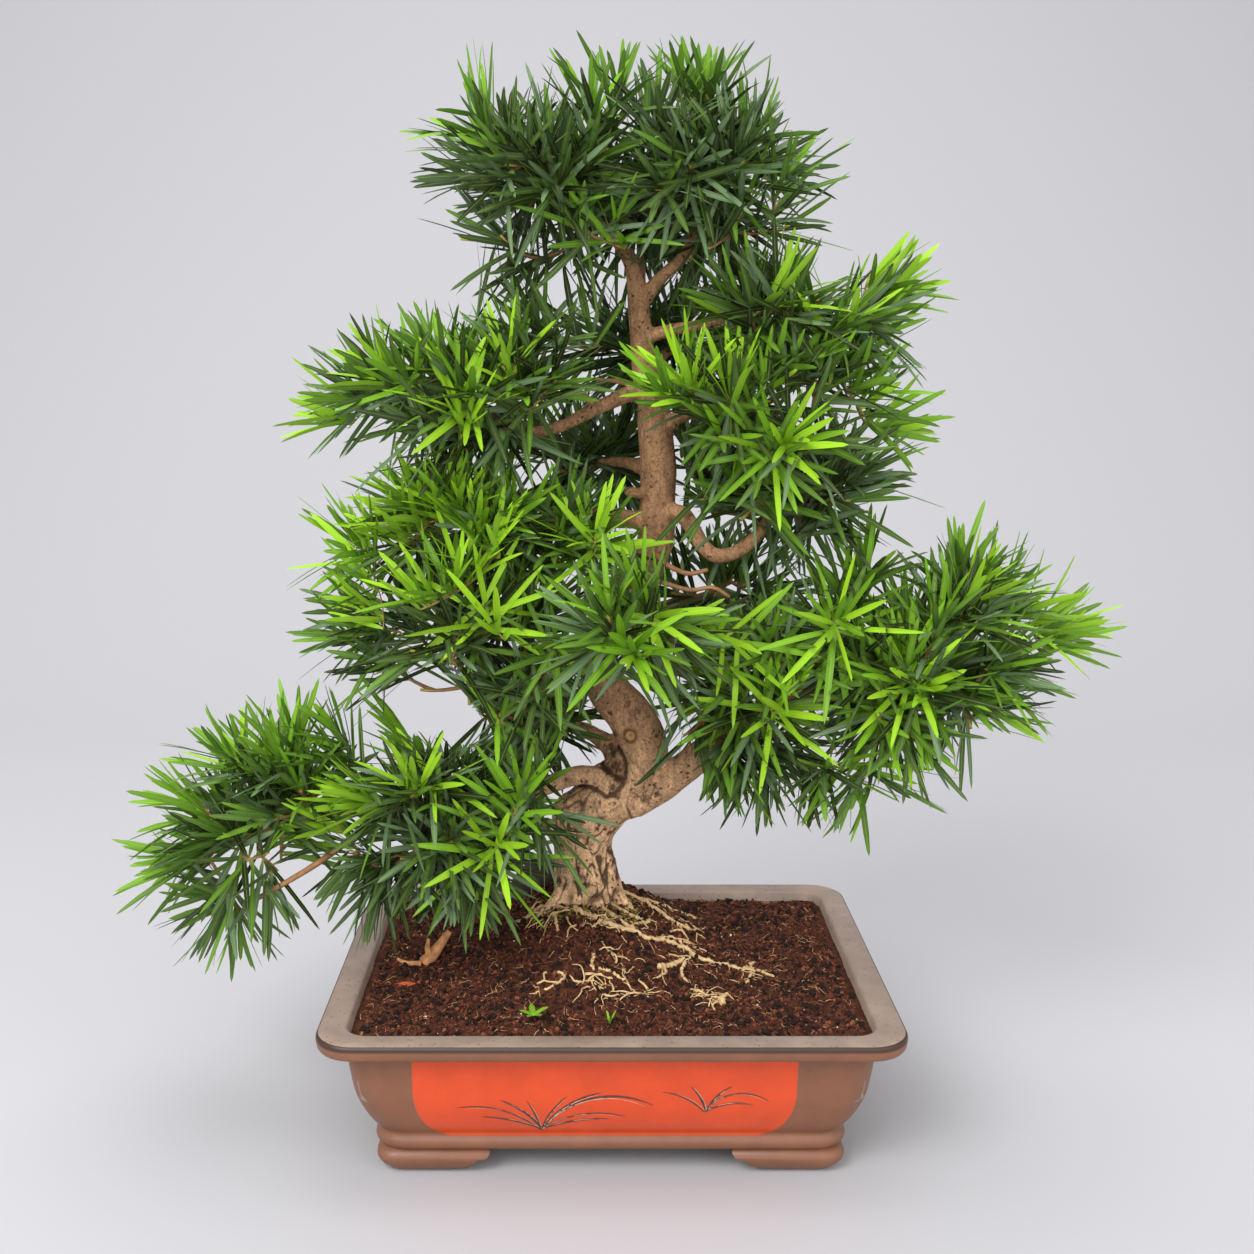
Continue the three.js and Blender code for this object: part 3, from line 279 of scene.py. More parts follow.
# Tufts that the photograph shows on the front: place, direction, spread of the leaves in degrees, and how
# fresh the growth is, from 0 to 1
TUFTS = {
    "back_left_foliage": [
        (-52, 46, 262, DOWN_LEFT, 50, 0.3), (-36, 44, 268, DOWN, 45, 0.3),
        (-20, 46, 262, (-0.5, -0.5, -0.4), 45, 0.3), (-44, 48, 246, LEFT, 50, 0.3),
        (-26, 50, 256, FACING, 70, 0.3)],
    "top_left_foliage": [
        (-70, -8, 627, UP_LEFT, 45, 0.7), (-12, -14, 632, UP, 45, 0.5), (-37, -30, 614, UP, 55, 0.3),
        (-84, -10, 594, LEFT, 55, 0.3), (-62, -34, 600, UP_LEFT, 60, 0.5), (-18, -34, 562, UP, 70, 0.5),
        (-66, -16, 562, LEFT, 60, 0.3), (8, -24, 554, FACING, 70, 0.5), (-30, -36, 586, FACING, 70, 0.3),
        (-91, 0, 561, DOWN_LEFT, 55, 0.3), (6, -6, 641, UP, 50, 0.5), (-4, -26, 609, UP, 60, 0.3),
        (-49, 4, 548, DOWN_LEFT, 60, 0.3), (-22, 10, 546, DOWN, 60, 0.3), (-78, -2, 641, UP_LEFT, 40, 0.7)],
    "top_right_foliage": [
        (24, -14, 629, UP, 50, 0.3), (55, -4, 645, UP, 45, 0.5), (89, -8, 624, UP_RIGHT, 45, 0.5),
        (99, -24, 595, UP_RIGHT, 45, 0.5), (75, -34, 574, UP, 60, 0.3), (56, -34, 553, UP, 65, 0.3),
        (106, -12, 568, RIGHT, 55, 0.3), (44, -38, 599, FACING, 75, 0.3), (25, -36, 586, FACING, 70, 0.3),
        (76, -36, 602, UP, 60, 0.3), (36, 0, 643, UP, 50, 0.5), (16, -24, 618, UP, 60, 0.3),
        (49, 10, 548, DOWN, 60, 0.3), (72, -6, 551, DOWN_RIGHT, 55, 0.3)],
    "upper_left_foliage": [
        (-161, -8, 448, LEFT, 36, 0.85), (-89, -46, 444, (0.05, -0.7, 0.8), 70, 1),
        (-136, -24, 475, UP_LEFT, 45, 0.85), (-65, -30, 486, UP, 50, 0.85), (-24, -20, 503, UP, 60, 0.3),
        (-151, -14, 465, LEFT, 55, 0.3), (-108, -28, 489, UP_LEFT, 50, 0.5), (-117, -36, 451, LEFT, 60, 0.3),
        (-43, -24, 466, FACING, 60, 0.3), (-95, -36, 469, UP, 60, 0.7), (-40, 0, 512, UP, 55, 0.3),
        (-7, 10, 498, UP, 60, 0.3), (-55, -12, 498, UP, 55, 0.5), (-31, -14, 480, FACING, 65, 0.3),
        (-104, -20, 432, DOWN_LEFT, 60, 0.3), (-67, -30, 442, DOWN, 60, 0.3)],
    "mid_left_high_foliage": [
        (-144, -34, 352, UP_LEFT, 42, 1), (-111, -24, 392, (-0.3, -0.4, 1), 40, 1),
        (-98, -50, 352, (-0.1, -0.5, 1), 40, 1), (-67, -44, 373, (0, -0.5, 1), 42, 0.85),
        (-139, -36, 328, LEFT, 40, 0.85), (-64, -60, 326, FACING, 85, 1), (-43, -20, 393, UP, 45, 0.7),
        (-128, -30, 377, UP_LEFT, 45, 1), (-85, -34, 382, UP, 45, 1), (-155, -14, 367, LEFT, 50, 0.7),
        (-31, -30, 369, UP, 60, 0.5), (-9, -46, 385, (0.1, -0.75, 0.6), 62, 1),
        (-124, -14, 404, UP_LEFT, 42, 1), (-95, -24, 405, UP, 45, 0.85), (-166, -6, 376, LEFT, 40, 0.85),
        (-65, -14, 404, UP, 50, 0.5), (-22, -16, 392, UP, 55, 0.5), (-7, -30, 357, FACING, 65, 0.5),
        (-114, -54, 343, UP_LEFT, 50, 0.85), (1, -10, 376, FACING, 60, 0.5), (-16, -14, 375, UP, 55, 0.3),
        (-31, -20, 368, FACING, 60, 0.3)],
    "mid_left_low_foliage": [
        (-122, -44, 316, DOWN_LEFT, 60, 0.3), (-91, -50, 307, DOWN, 60, 0.3),
        (-66, -40, 264, FACING, 80, 0.5), (-30, -6, 262, DOWN_LEFT, 60, 0.3), (-46, 0, 250, DOWN, 50, 0.3),
        (-18, -4, 276, DOWN_LEFT, 60, 0.5), (-40, -50, 293, FACING, 75, 0.3),
        (-31, -56, 325, FACING, 75, 0.5), (-144, -16, 304, LEFT, 55, 0.3),
        (-88, -24, 277, DOWN_LEFT, 60, 0.3), (-157, -10, 341, LEFT, 50, 0.3), (-165, -4, 315, LEFT, 45, 0.5),
        (-119, -20, 286, DOWN_LEFT, 55, 0.3)],
    "centre_front_foliage": [
        (24, -96, 344, FACING, 60, 0.85), (-2, -104, 352, (0, -0.7, 0.6), 60, 0.5),
        (-13, -100, 328, DOWN_LEFT, 70, 0.3), (16, -80, 359, UP, 50, 0.5)],
    "upper_right_foliage": [
        (102, -30, 530, UP_RIGHT, 45, 1), (167, -10, 525, UP_RIGHT, 45, 0.85), (139, -34, 505, UP, 48, 0.85),
        (125, -14, 525, UP, 50, 0.5), (77, -20, 524, UP, 60, 0.3), (164, -6, 498, RIGHT, 50, 0.5),
        (87, -34, 504, FACING, 70, 0.3), (157, 0, 540, UP_RIGHT, 45, 0.85), (131, -20, 498, RIGHT, 55, 0.3),
        (162, -6, 520, RIGHT, 40, 0.5)],
    "mid_right_high_foliage": [
        (70, -50, 473, (0.1, -0.5, 1), 42, 1), (45, -52, 474, (-0.45, -0.6, 0.7), 48, 1),
        (109, -36, 482, UP_RIGHT, 45, 0.7), (105, -52, 443, FACING, 50, 0.85),
        (98, -50, 434, FACING, 80, 0.5), (152, -24, 457, UP_RIGHT, 45, 0.7), (168, -12, 443, RIGHT, 42, 0.7),
        (130, -30, 475, UP, 45, 0.5), (62, -44, 443, FACING, 60, 0.5), (145, -10, 483, UP_RIGHT, 50, 0.5),
        (28, -40, 466, UP_LEFT, 50, 0.7), (83, -24, 495, UP, 55, 0.3), (93, -44, 466, UP, 55, 0.5),
        (124, -40, 443, FACING, 65, 0.3), (76, -40, 431, DOWN, 60, 0.3)],
    "mid_right_low_foliage": [
        (54, -30, 406, (-0.3, -0.8, 0.2), 60, 0.3), (72, -30, 418, FACING, 60, 0.5),
        (146, -20, 405, RIGHT, 50, 0.3), (116, -20, 380, RIGHT, 55, 0.3), (160, -8, 422, RIGHT, 50, 0.3),
        (96, -30, 406, FACING, 60, 0.5), (132, -26, 433, UP_RIGHT, 60, 0.3), (51, 24, 420, FACING, 65, 0.3),
        (65, 10, 399, FACING, 65, 0.3), (81, -6, 391, DOWN, 55, 0.3), (58, 34, 432, UP, 60, 0.3),
        (49, 46, 444, FACING, 80, 0.3), (49, 46, 428, FACING, 80, 0.3), (49, 46, 411, FACING, 80, 0.3),
        (66, 38, 392, FACING, 80, 0.3), (84, 38, 390, FACING, 80, 0.3)],
    "low_right_inner_foliage": [
        (61, -40, 326, FACING, 80, 0.85), (73, -34, 295, DOWN_LEFT, 75, 0.5),
        (106, -40, 277, FACING, 75, 0.85), (118, -36, 290, UP, 55, 0.7), (64, -20, 250, DOWN, 40, 0.5),
        (49, -34, 273, (-0.7, -0.6, -0.2), 55, 0.5), (98, -30, 320, FACING, 75, 0.5),
        (88, -26, 258, DOWN, 55, 0.3), (52, 0, 241, DOWN_LEFT, 40, 0.3), (39, -20, 279, LEFT, 50, 0.3),
        (77, -10, 237, DOWN, 45, 0.5), (102, -14, 232, DOWN, 50, 0.3), (44, 8, 264, DOWN_LEFT, 45, 0.3),
        (48, 4, 250, DOWN, 45, 0.3), (40, 10, 276, LEFT, 45, 0.3)],
    "low_right_outer_foliage": [
        (135, -48, 336, FACING, 88, 0.7), (159, -24, 360, UP, 40, 0.5),
        (181, -46, 310, (0, -0.5, 1), 45, 0.7), (222, -24, 347, UP_RIGHT, 48, 0.85),
        (191, -50, 293, FACING, 85, 0.85), (281, 0, 315, (1, -0.15, 0.3), 36, 1),
        (188, -40, 260, (0.5, -0.7, -0.5), 75, 0.7), (131, -34, 236, (0.05, -0.7, -0.6), 80, 0.7),
        (242, -26, 309, RIGHT, 45, 0.5), (234, -24, 280, DOWN_RIGHT, 45, 0.7),
        (164, -46, 273, FACING, 75, 0.5), (200, -40, 334, UP, 50, 0.5), (252, -6, 341, UP_RIGHT, 50, 0.5),
        (166, -16, 219, DOWN, 45, 0.5), (144, -10, 348, UP, 50, 0.5), (130, -20, 330, UP_LEFT, 55, 0.3),
        (152, -20, 227, DOWN, 50, 0.5), (121, -16, 233, DOWN, 55, 0.3), (221, 0, 359, UP, 45, 0.5),
        (161, -6, 358, UP, 42, 0.7)],
    "low_left_inner_foliage": [
        (-153, -48, 223, (-0.9, -0.4, 0.3), 34, 1), (-123, -54, 227, (0, -0.6, 0.9), 55, 1),
        (-173, -16, 261, UP_LEFT, 30, 0.7), (-133, -18, 259, (-0.35, -0.2, 1), 34, 0.7),
        (-67, -60, 201, FACING, 80, 0.85), (-55, -50, 228, (0.1, -0.6, 0.8), 50, 0.7),
        (-99, -48, 172, (0, -0.6, -0.8), 75, 0.3), (-143, -50, 216, DOWN_LEFT, 60, 0.3),
        (-112, -52, 192, FACING, 75, 0.3), (-88, -30, 237, UP, 60, 0.3), (-131, -44, 183, DOWN, 55, 0.3),
        (-37, -50, 204, (0.7, -0.6, -0.3), 55, 0.3), (-172, -40, 206, LEFT, 45, 0.85),
        (-165, -30, 184, DOWN_LEFT, 50, 0.3), (-152, -34, 166, DOWN, 45, 0.3),
        (-170, -24, 241, UP_LEFT, 50, 0.5), (-108, -20, 240, UP, 50, 0.3), (-82, -40, 168, DOWN, 50, 0.3),
        (-38, -30, 230, FACING, 60, 0.3)],
    "low_left_outer_foliage": [
        (-209, -18, 239, (-0.3, -0.4, 1), 45, 0.7), (-218, -36, 231, UP_LEFT, 50, 0.5),
        (-267, -14, 213, (-1, -0.2, 0.3), 42, 0.7), (-215, -36, 206, LEFT, 45, 0.5),
        (-266, -14, 165, LEFT, 40, 0.5), (-249, -8, 136, LEFT, 40, 0.5),
        (-242, -10, 132, (0, -0.3, -1), 36, 0.5), (-243, -10, 237, UP_LEFT, 48, 0.5),
        (-194, -34, 225, UP, 50, 0.5), (-246, -26, 193, LEFT, 45, 0.5), (-198, -10, 251, UP, 50, 0.5),
        (-183, -26, 222, UP_RIGHT, 55, 0.3)],
}

# Gaps in the crown and notches in its outline where the photograph shows the background: centre and half
# sizes on the plane through the pot's axis
WINDOWS = [
    (-47, 421, 14, 9), (63, 352, 31, 11), (-228, 165, 29, 13), (-90, 256, 14, 9), (1, 530, 6, 9),
    (-204, 153, 20, 9), (-19, 207, 8, 6), (33, 180, 26, 39), (-20, 239, 10, 8), (-117, 273, 27, 19),
    (-115, 660, 20, 26), (121, 648, 18, 26), (156, 574, 22, 20), (203, 498, 16, 15), (-194, 373, 12, 21),
    (259, 230, 30, 21), (193, 187, 34, 16), (-112, 551, 22, 20), (131, 542, 14, 10), (-31, 531, 10, 9),
    (-86, 548, 9, 11), (184, 388, 20, 15), (136, 373, 11, 8),
    (79, 357, 14, 8)]
# Wood that the photograph shows through the leaves: centre and half sizes of each view, on the same plane
CLEAR_VIEWS = [(20, 525, 10, 20), (-20, 453, 32, 11), (30, 420, 11, 42), (58, 378, 11, 12), (87, 384, 15, 16),
               (12, 251, 19, 32), (41, 214, 17, 16), (-17, 219, 20, 8)]
CLEAR_IN_FRONT = 24.0

# Rule of growth. The room that leaves have: half sizes and top of the plant, and how low they hang over the
# pot and beside it
PLANT_HALF = (326.0, 180.0)
PLANT_TOP = 675.0
OVER_POT = (181.0, 136.0)
POT_TOP = 100.0
CLEAR_ABOVE = 5.0
LOWEST_LEAF = 60.0
# How far out of a core its leaves reach, how far off limbs they keep, how far leaves, shown tufts and the
# rule's tufts enter a neighbour's space, and how far apart the rule's tufts stand
LEAF_REACH = 54.0
LIMB_MARGIN = 2.0
LEAF_OVERLAP = 30.0
SHOWN_OVERLAP = 90.0
RULE_OVERLAP = 8.0
TUFT_SPACING = 13.0
# Where twigs start along the stem and along other twigs, and how one finds its way to a shoot's end
STEM_JOINTS = (0.45, 0.6, 0.75, 0.9, 1.0)
TWIG_JOINTS = (0.4, 0.6, 0.8)
TWIG_SHARES = (0.25, 0.5, 0.75, 1.0)
SHORTEST_TWIG = 8.0
SHOOT_TRIES = 4
NEAREST_JOINTS = 8
DRAW_IN = 0.25
UPWARD = 0.35
# Main shoots, fine shoots and a mass's furthest tip: spread of the leaves in degrees
MAIN_SPREAD = 58
FINE_SPREAD = 62
TIP_SPREAD = 30
TIP_FRESH = 0.7
LEAST_LEAVES = 8
# How deep in the core main and fine shoots may end, and how thick twigs are: shown, main and fine
MAIN_DEPTH = 0.6
FINE_DEPTH = 0.42
TWIG_WIDTHS = (1.0, 0.9, 0.62)
STEM_POINTS = 14
TWIG_POINTS = 8

# A leaf: stations along it, its width there, and its faces between three points at each and the tip
LEAF_STATIONS = np.array([0.0, 0.12, 0.4, 0.72, 0.93])
LEAF_PROFILE = np.array([0.28, 0.76, 1.0, 0.92, 0.52])
LEAF_FACES = [[row * 3 + side, row * 3 + side + 1, row * 3 + side + 4, row * 3 + side + 3]
              for row in range(4) for side in range(2)] + [[12, 13, 15], [13, 14, 15]]
LEAF_POINTS = 16

# Greens of the leaves, from the youngest to the oldest; leaves_shade is the dark green darkened further,
# painted shade for the inside of the foliage
LEAF_TINTS = {
    "leaves_lime": 0x8CBA22,
    "leaves_fresh": 0x6B9A1E,
    "leaves_green": 0x537822,
    "leaves_deep": 0x48612C,
    "leaves_shade": 0x273714,
    "leaves_blue": 0x5C7450,
}

# Surface roots, as plan points on the soil with the radius at both ends
ROOTS = {
    "front_surface_roots": [
        ((1.8, 1.4), [(-24, 16), (-10, 6), (2, -2), (16, -5), (28, -4), (40, 0), (52, -4), (59, -10)]),
        ((1.6, 1.2), [(-8, 28), (0, 12), (10, 2), (20, -4)]),
        ((1.4, 1.0), [(-1, 34), (7, 18), (16, 13), (28, 14)]),
        ((1.2, 0.9), [(28, 15), (20, 7), (12, -2)]),
        ((1.1, 0.9), [(28, -4), (39, 5), (50, 5), (60, 0)]),
        ((1.5, 0.8), [(58, -9), (69, -13), (77, -13), (86, -17), (96, -17), (108, -26)]),
        ((1.1, 0.9), [(97, -6), (93, -10), (92, -22), (88, -34)]),
        ((1.2, 2.0), [(57, -8), (47, -17), (40, -24), (31, -33)]),
        ((1.4, 0.8), [(54, -10), (48, -22), (47, -34), (50, -42)])],
    "right_surface_root": [
        ((2.3, 1.2), [(0, 44), (18, 40), (36, 30), (54, 22)]),
        ((1.4, 0.8), [(18, 40), (32, 44), (46, 48), (62, 54)])],
    "left_surface_roots": [
        ((2.0, 1.0), [(-24, 34), (-38, 24), (-50, 18), (-62, 16)]),
        ((1.5, 0.9), [(-34, 26), (-37, 14), (-35, 2), (-34, -6)]),
        ((1.4, 0.9), [(-46, 28), (-34, 20), (-22, 13), (-10, 5)]),
        ((1.1, 0.7), [(-50, 24), (-42, 12), (-39, 4)])],
}
# Thin side roots of each, and the points and sides that roots are drawn with
ROOTLETS = 5
ROOT_STEPS = 9
ROOT_SIDES = 9
ROOTLET_POINTS = 9
LOOSE_POINTS = 8
THIN_SIDES = 6
ROOT_SEED = 60
TANGLE_SEED = 77

# Loose roots on the soil: single ones, and tangles with their plan point, how far they spread, and how many
LOOSE_ROOTS = [
    ((1.0, 0.6), [(-33, -44), (-29, -48), (-38, -57), (-50, -62)]),
    ((1.1, 0.8), [(-10, -30), (-12, -37), (-10, -45)]),
    ((1.1, 0.7), [(-7, -42), (0, -42), (8, -48), (10, -44), (9, -39)]),
    ((1.2, 2.2), [(74, -52), (70, -58), (69, -65)]),
]
TANGLES = [((-14, -52), 7, 7), ((-4, -66), 7, 7), ((-10, -59), 5, 5), ((18, -58), 6, 9), ((56, -54), 9, 10),
           ((66, -60), 9, 11), ((-36, 12), 12, 11), ((-14, 4), 12, 12), ((34, 6), 10, 6), ((8, -31), 10, 9),
           ((56, 26), 7, 7), ((86, -22), 14, 5), ((-40, -50), 12, 3), ((-48, 22), 9, 8)]

# Twigs without leaves that the photograph shows: radius at both ends, and the line
SHOWN_TWIGS = [
    ((2.6, 1.5), [(-150, 0, 197), (-170, -16, 184), (-187, -20, 172), (-206, -20, 160), (-224, -18, 149),
                  (-238, -14, 140)]),
    ((2.0, 1.4), [(30, 20, 366), (38, 8, 360), (50, 4, 356), (62, 6, 358)]),
    ((1.8, 1.3), [(18, 26, 352), (34, 12, 349), (52, 6, 345), (66, 4, 347), (76, 2, 341)]),
    ((2.4, 1.6), [(-9, 18, 459), (-16, 16, 467), (-26, 14, 472)]),
    ((2.0, 1.3), [(18, 21, 472), (4, 20, 476), (-8, 18, 477)]),
]

# Small things on the soil: seedlings with their height, leaves, lean in degrees, leaf length and width; a
# shard of bark and a chip of fired clay
SEEDLINGS = [((-47, -90), 9, 5, 66, 10.5, 3.6), ((-1, -98), 5, 4, 24, 9.0, 1.5)]
SHARD = [((5.2, 2.0), [(-122, -4, 96), (-115, -2, 104), (-106, 2, 116)]),
         ((3.0, 1.0), [(-118, -4, 100), (-120, -6, 107), (-119, -6, 114)]),
         ((2.4, 1.0), [(-124, -8, 97), (-134, -8, 98), (-140, -6, 100)])]
CHIP = ((-131, -38), 7.0)
CHIP_SHAPE = (1.0, 0.3, 0.22)
STONE = ((-44, 88, 112), (25, 15, 24))

# Stage, in metres: the camera at the photograph's view, the floor that sweeps up into a wall, and the air
CAMERA_PLACE = (-0.0152, -0.8885, 0.491)
CAMERA_PITCH = 10.757
CAMERA_LENS = 40.8
CAMERA_SHIFT = 0.0327
SWEEP_RADIUS = 1.6
SWEEP_STEPS = 24
FLOOR_HALF = (7, 2)
FLOOR_MIDDLE = -1.1
WALL_HEIGHT = 3
PAPER = 0xB1B0B3
AIR = 0xEEF0F2
# Lamps: place, size, power, and the point that they face
LAMPS = [
    ("key_light", (-1.2, -1.7, 2.0), 1.3, 58, (0, 0, 0.35)),
    ("fill_light", (1.6, -1.6, 1.2), 1.6, 13, (0, 0, 0.3)),
    ("front_light", (0, -2.4, 0.95), 2.0, 18, (0, 0, 0.3)),
    ("top_light", (0.1, 0.3, 2.4), 1.8, 18, (0, 0, 0.3)),
    ("backdrop_light", (0, 0.9, 3.0), 2.6, 20, (0, 2.4, 0.9)),
]


def linear(hex_colour):
    """A colour's linear values from its sRGB hex value"""
    channels = [((hex_colour >> shift) & 255) / 255 for shift in (16, 8, 0)]
    return (*(c / 12.92 if c <= 0.04045 else ((c + 0.055) / 1.055) ** 2.4 for c in channels), 1.0)


def colour(name, hex_colour, description):
    """A colour that a user can change"""
    return FloatVectorProperty(
        name=name, description=description, subtype="COLOR", size=4, min=0, max=1, default=linear(hex_colour))


def length(name, millimetres, description):
    """A length that a user can change"""
    return FloatProperty(
        name=name, description=description, subtype="DISTANCE", unit="LENGTH", precision=4, min=0,
        default=millimetres * MM)


class BonsaiSizes(PropertyGroup):
    leaf_length: length("Leaf length", 56, "Length of a full-grown leaf")
    leaf_width: length("Leaf width", 3.8, "Width of a full-grown leaf")
    twig_radius: length("Twig radius", 1.9, "Radius of a main twig where it leaves its stem")
    bark_voxel: length("Bark voxel", 1.25, "Cell of the mesh that the bark's relief is drawn on")
    bark_relief: length("Bark relief", 1.1, "Depth of the deepest fissure at the trunk's foot")
    shoots: IntProperty(name="Fine shoots", description="Fine shoots for each main shoot", default=4, min=0)
    leaves: IntProperty(name="Leaves", description="Leaves on one shoot", default=23, min=1)
    crumbs: IntProperty(name="Crumbs", description="Crumbs and lumps lying on the soil", default=12000, min=0)
    fibres: IntProperty(name="Fibres", description="Loose fibres lying on the soil", default=2700, min=0)


class BonsaiColours(PropertyGroup):
    clay: colour("Clay", 0x7D5139, "Fired brown clay of the pot")
    rim: colour("Rim", 0x958072, "Dusty grey-brown glaze on the top of the rim")
    glaze: colour("Glaze", 0xCE461A, "Glossy orange glaze of the front panel")
    soil: colour("Soil", 0x43251A, "Moist potting soil")
    bark: colour("Bark", 0xE2B78D, "Weathered bark at the foot of the trunk")
    young_bark: colour("Young bark", 0xAE8460, "Browner bark of the upper trunk and boughs")
    root: colour("Root", 0xCFAE7E, "Dry surface roots")
    stone: colour("Stone", 0x4F443F, "Dark pebble beside the trunk")


# Materials


def add(tree, kind, *inputs, out=None, **settings):
    """Add a node. Its live inputs are given in order, others and its properties by name, and an input is a
    value or the output that feeds it. Returns the output that out names, or the first live one"""
    node = tree.nodes.new("ShaderNode" + kind)
    named = [(node.inputs[key], value) for key, value in settings.items() if key in node.inputs]
    for key, value in settings.items():
        if key not in node.inputs:
            setattr(node, key, value)
    live = [socket for socket in node.inputs if socket.enabled]
    for socket, value in [*zip(live, inputs), *named]:
        if isinstance(value, bpy.types.NodeSocket):
            tree.links.new(value, socket)
        else:
            socket.default_value = value
    return node.outputs[out] if out else next(socket for socket in node.outputs if socket.enabled)


def new_material(name, values):
    """A material with one Principled shader, and its node tree"""
    material = bpy.data.materials.new(name)
    material.use_nodes = True
    for key, value in values.items():
        material.node_tree.nodes["Principled BSDF"].inputs[key].default_value = value
    return material, material.node_tree


def feed(material, sources):
    """Link what feeds the shader of a material, which is then finished"""
    tree = material.node_tree
    for key, source in sources.items():
        tree.links.new(source, tree.nodes["Principled BSDF"].inputs[key])
    return material


def grain_scale(millimetres):
    """A texture's scale from the size of its grains"""
    return 1 / (millimetres * MM)


def toned(shade, factor):
    """A colour made darker or lighter"""
    return (*(c * factor for c in shade[:3]), 1.0)


def blended(first, second, share):
    """One colour with a share of another"""
    return (*(a * (1 - share) + b * share for a, b in zip(first[:3], second[:3])), 1.0)


def inside_corner(tree, across, past, radii):
    """Where a panel's corner is filled: its edges are PANEL_HALF across and zero past, rounded by radii"""
    place = add(tree, "CombineXYZ", across, past)
    out = add(tree, "VectorMath", place, (PANEL_HALF - radii[0], -radii[1], 0.0), operation="SUBTRACT")
    over = add(tree, "VectorMath", out, (0.0, 0.0, 0.0), operation="MAXIMUM")
    shares = add(tree, "VectorMath", over, (*radii, 1.0), operation="DIVIDE")
    reach = add(tree, "VectorMath", shares, operation="LENGTH")
    return add(tree, "MapRange", reach, 1.02, 0.98)


def glazed_stoneware(colours):
    """Smooth brown stoneware: a soft sheen on the bare clay, a dusty half-matt rim with dark glaze round its
    edge, and one panel of glossy orange glaze that catches the light at its border"""
    material, tree = new_material("glazed_stoneware", {"IOR": 1.5})
    place = add(tree, "TexCoord", out="Object")
    split = add(tree, "SeparateXYZ", place).node.outputs
    # Patches of firing, and specks of dried soil on the rim. Sand in the clay is finer than its grain here,
    # which is as coarse as it needs to be to show
    mottle = add(tree, "TexNoise", place, grain_scale(23.81), 6.0, 0.62)
    specks = add(tree, "TexVoronoi", place, grain_scale(4.348))
    sand = add(tree, "TexNoise", place, grain_scale(1.111))
    clay = add(tree, "Mix", mottle, toned(colours.clay, 0.62), toned(colours.clay, 1.28), data_type="RGBA")
    rim = colours.rim[:3]
    for level in (add(tree, "MapRange", mottle, 0.35, 0.65, 0.8, 1.12),
                  add(tree, "MapRange", specks, 0.1, 0.2, 0.45, 1.0)):
        rim = add(tree, "VectorMath", rim, level, operation="SCALE")
    # Glaze has run to a dark line along the rim's edge
    edge = add(tree, "MapRange", split["Z"], *RIM_LINE, 0.0, 0.92)
    lined = add(tree, "Mix", edge, clay, toned(colours.clay, 0.12), data_type="RGBA")
    dusted = add(tree, "Attribute", out="Fac", attribute_name="dusted")
    settled = add(tree, "MapRange", dusted, 0.75, 1.0)
    body = add(tree, "Mix", settled, lined, rim, data_type="RGBA")
    # The panel is a long box on the front, with round lower corners and its upper right corner worn round
    shifted = add(tree, "Math", split["X"], PANEL_MIDDLE, operation="SUBTRACT")
    across = add(tree, "Math", shifted, operation="ABSOLUTE")
    low = add(tree, "Math", PANEL_FOOT, split["Z"], operation="SUBTRACT")
    high = add(tree, "Math", split["Z"], PANEL_TOP, operation="SUBTRACT")
    panel = inside_corner(tree, across, low, PANEL_FOOT_CORNER)
    for mask in (inside_corner(tree, shifted, high, PANEL_TOP_CORNER),
                 add(tree, "MapRange", split["Y"], *PANEL_FRONT),
                 add(tree, "MapRange", split["Z"], *PANEL_EDGE)):
        panel = add(tree, "Math", panel, mask, operation="MULTIPLY")
    pooled = add(tree, "MapRange", mottle, 0.3, 0.7, 0.9, 1.08)
    glaze = add(tree, "VectorMath", colours.glaze[:3], pooled, operation="SCALE")
    tone = add(tree, "Mix", panel, body, glaze, data_type="RGBA")
    bare = add(tree, "MapRange", mottle, 0.0, 1.0, 0.36, 0.52)
    rough = add(tree, "Mix", panel, bare, 0.24)
    relief = add(tree, "Math", sand, 0.25, operation="MULTIPLY")
    raised = add(tree, "Math", relief, panel)
    bump = add(tree, "Bump", 0.35, 0.4 * MM, Height=raised)
    return feed(material, {"Base Color": tone, "Roughness": rough, "Normal": bump})


def potting_soil(colours):
    """Moist peat and fibre with no gloss: painted shade makes it nearly black in its hollows, and painted
    light makes it red-brown on its lumps
    """
    material, tree = new_material("potting_soil", {"Roughness": 0.95, "Specular IOR Level": 0.15})
    lumps = add(tree, "TexNoise", add(tree, "TexCoord", out="Object"), grain_scale(3.846), 8.0, 0.72)
    # Painted shade and light: the colour runs from nearly black to red-brown with the noise that raises the
    # bump, dark in the hollows and light on the lumps
    spread = add(tree, "MapRange", lumps, 0.32, 0.7)
    tone = add(tree, "Mix", spread, toned(colours.soil, 0.3), toned(colours.soil, 2.4), data_type="RGBA")
    bump = add(tree, "Bump", 0.8, 1.5 * MM, Height=lumps)
    return feed(material, {"Base Color": tone, "Normal": bump})


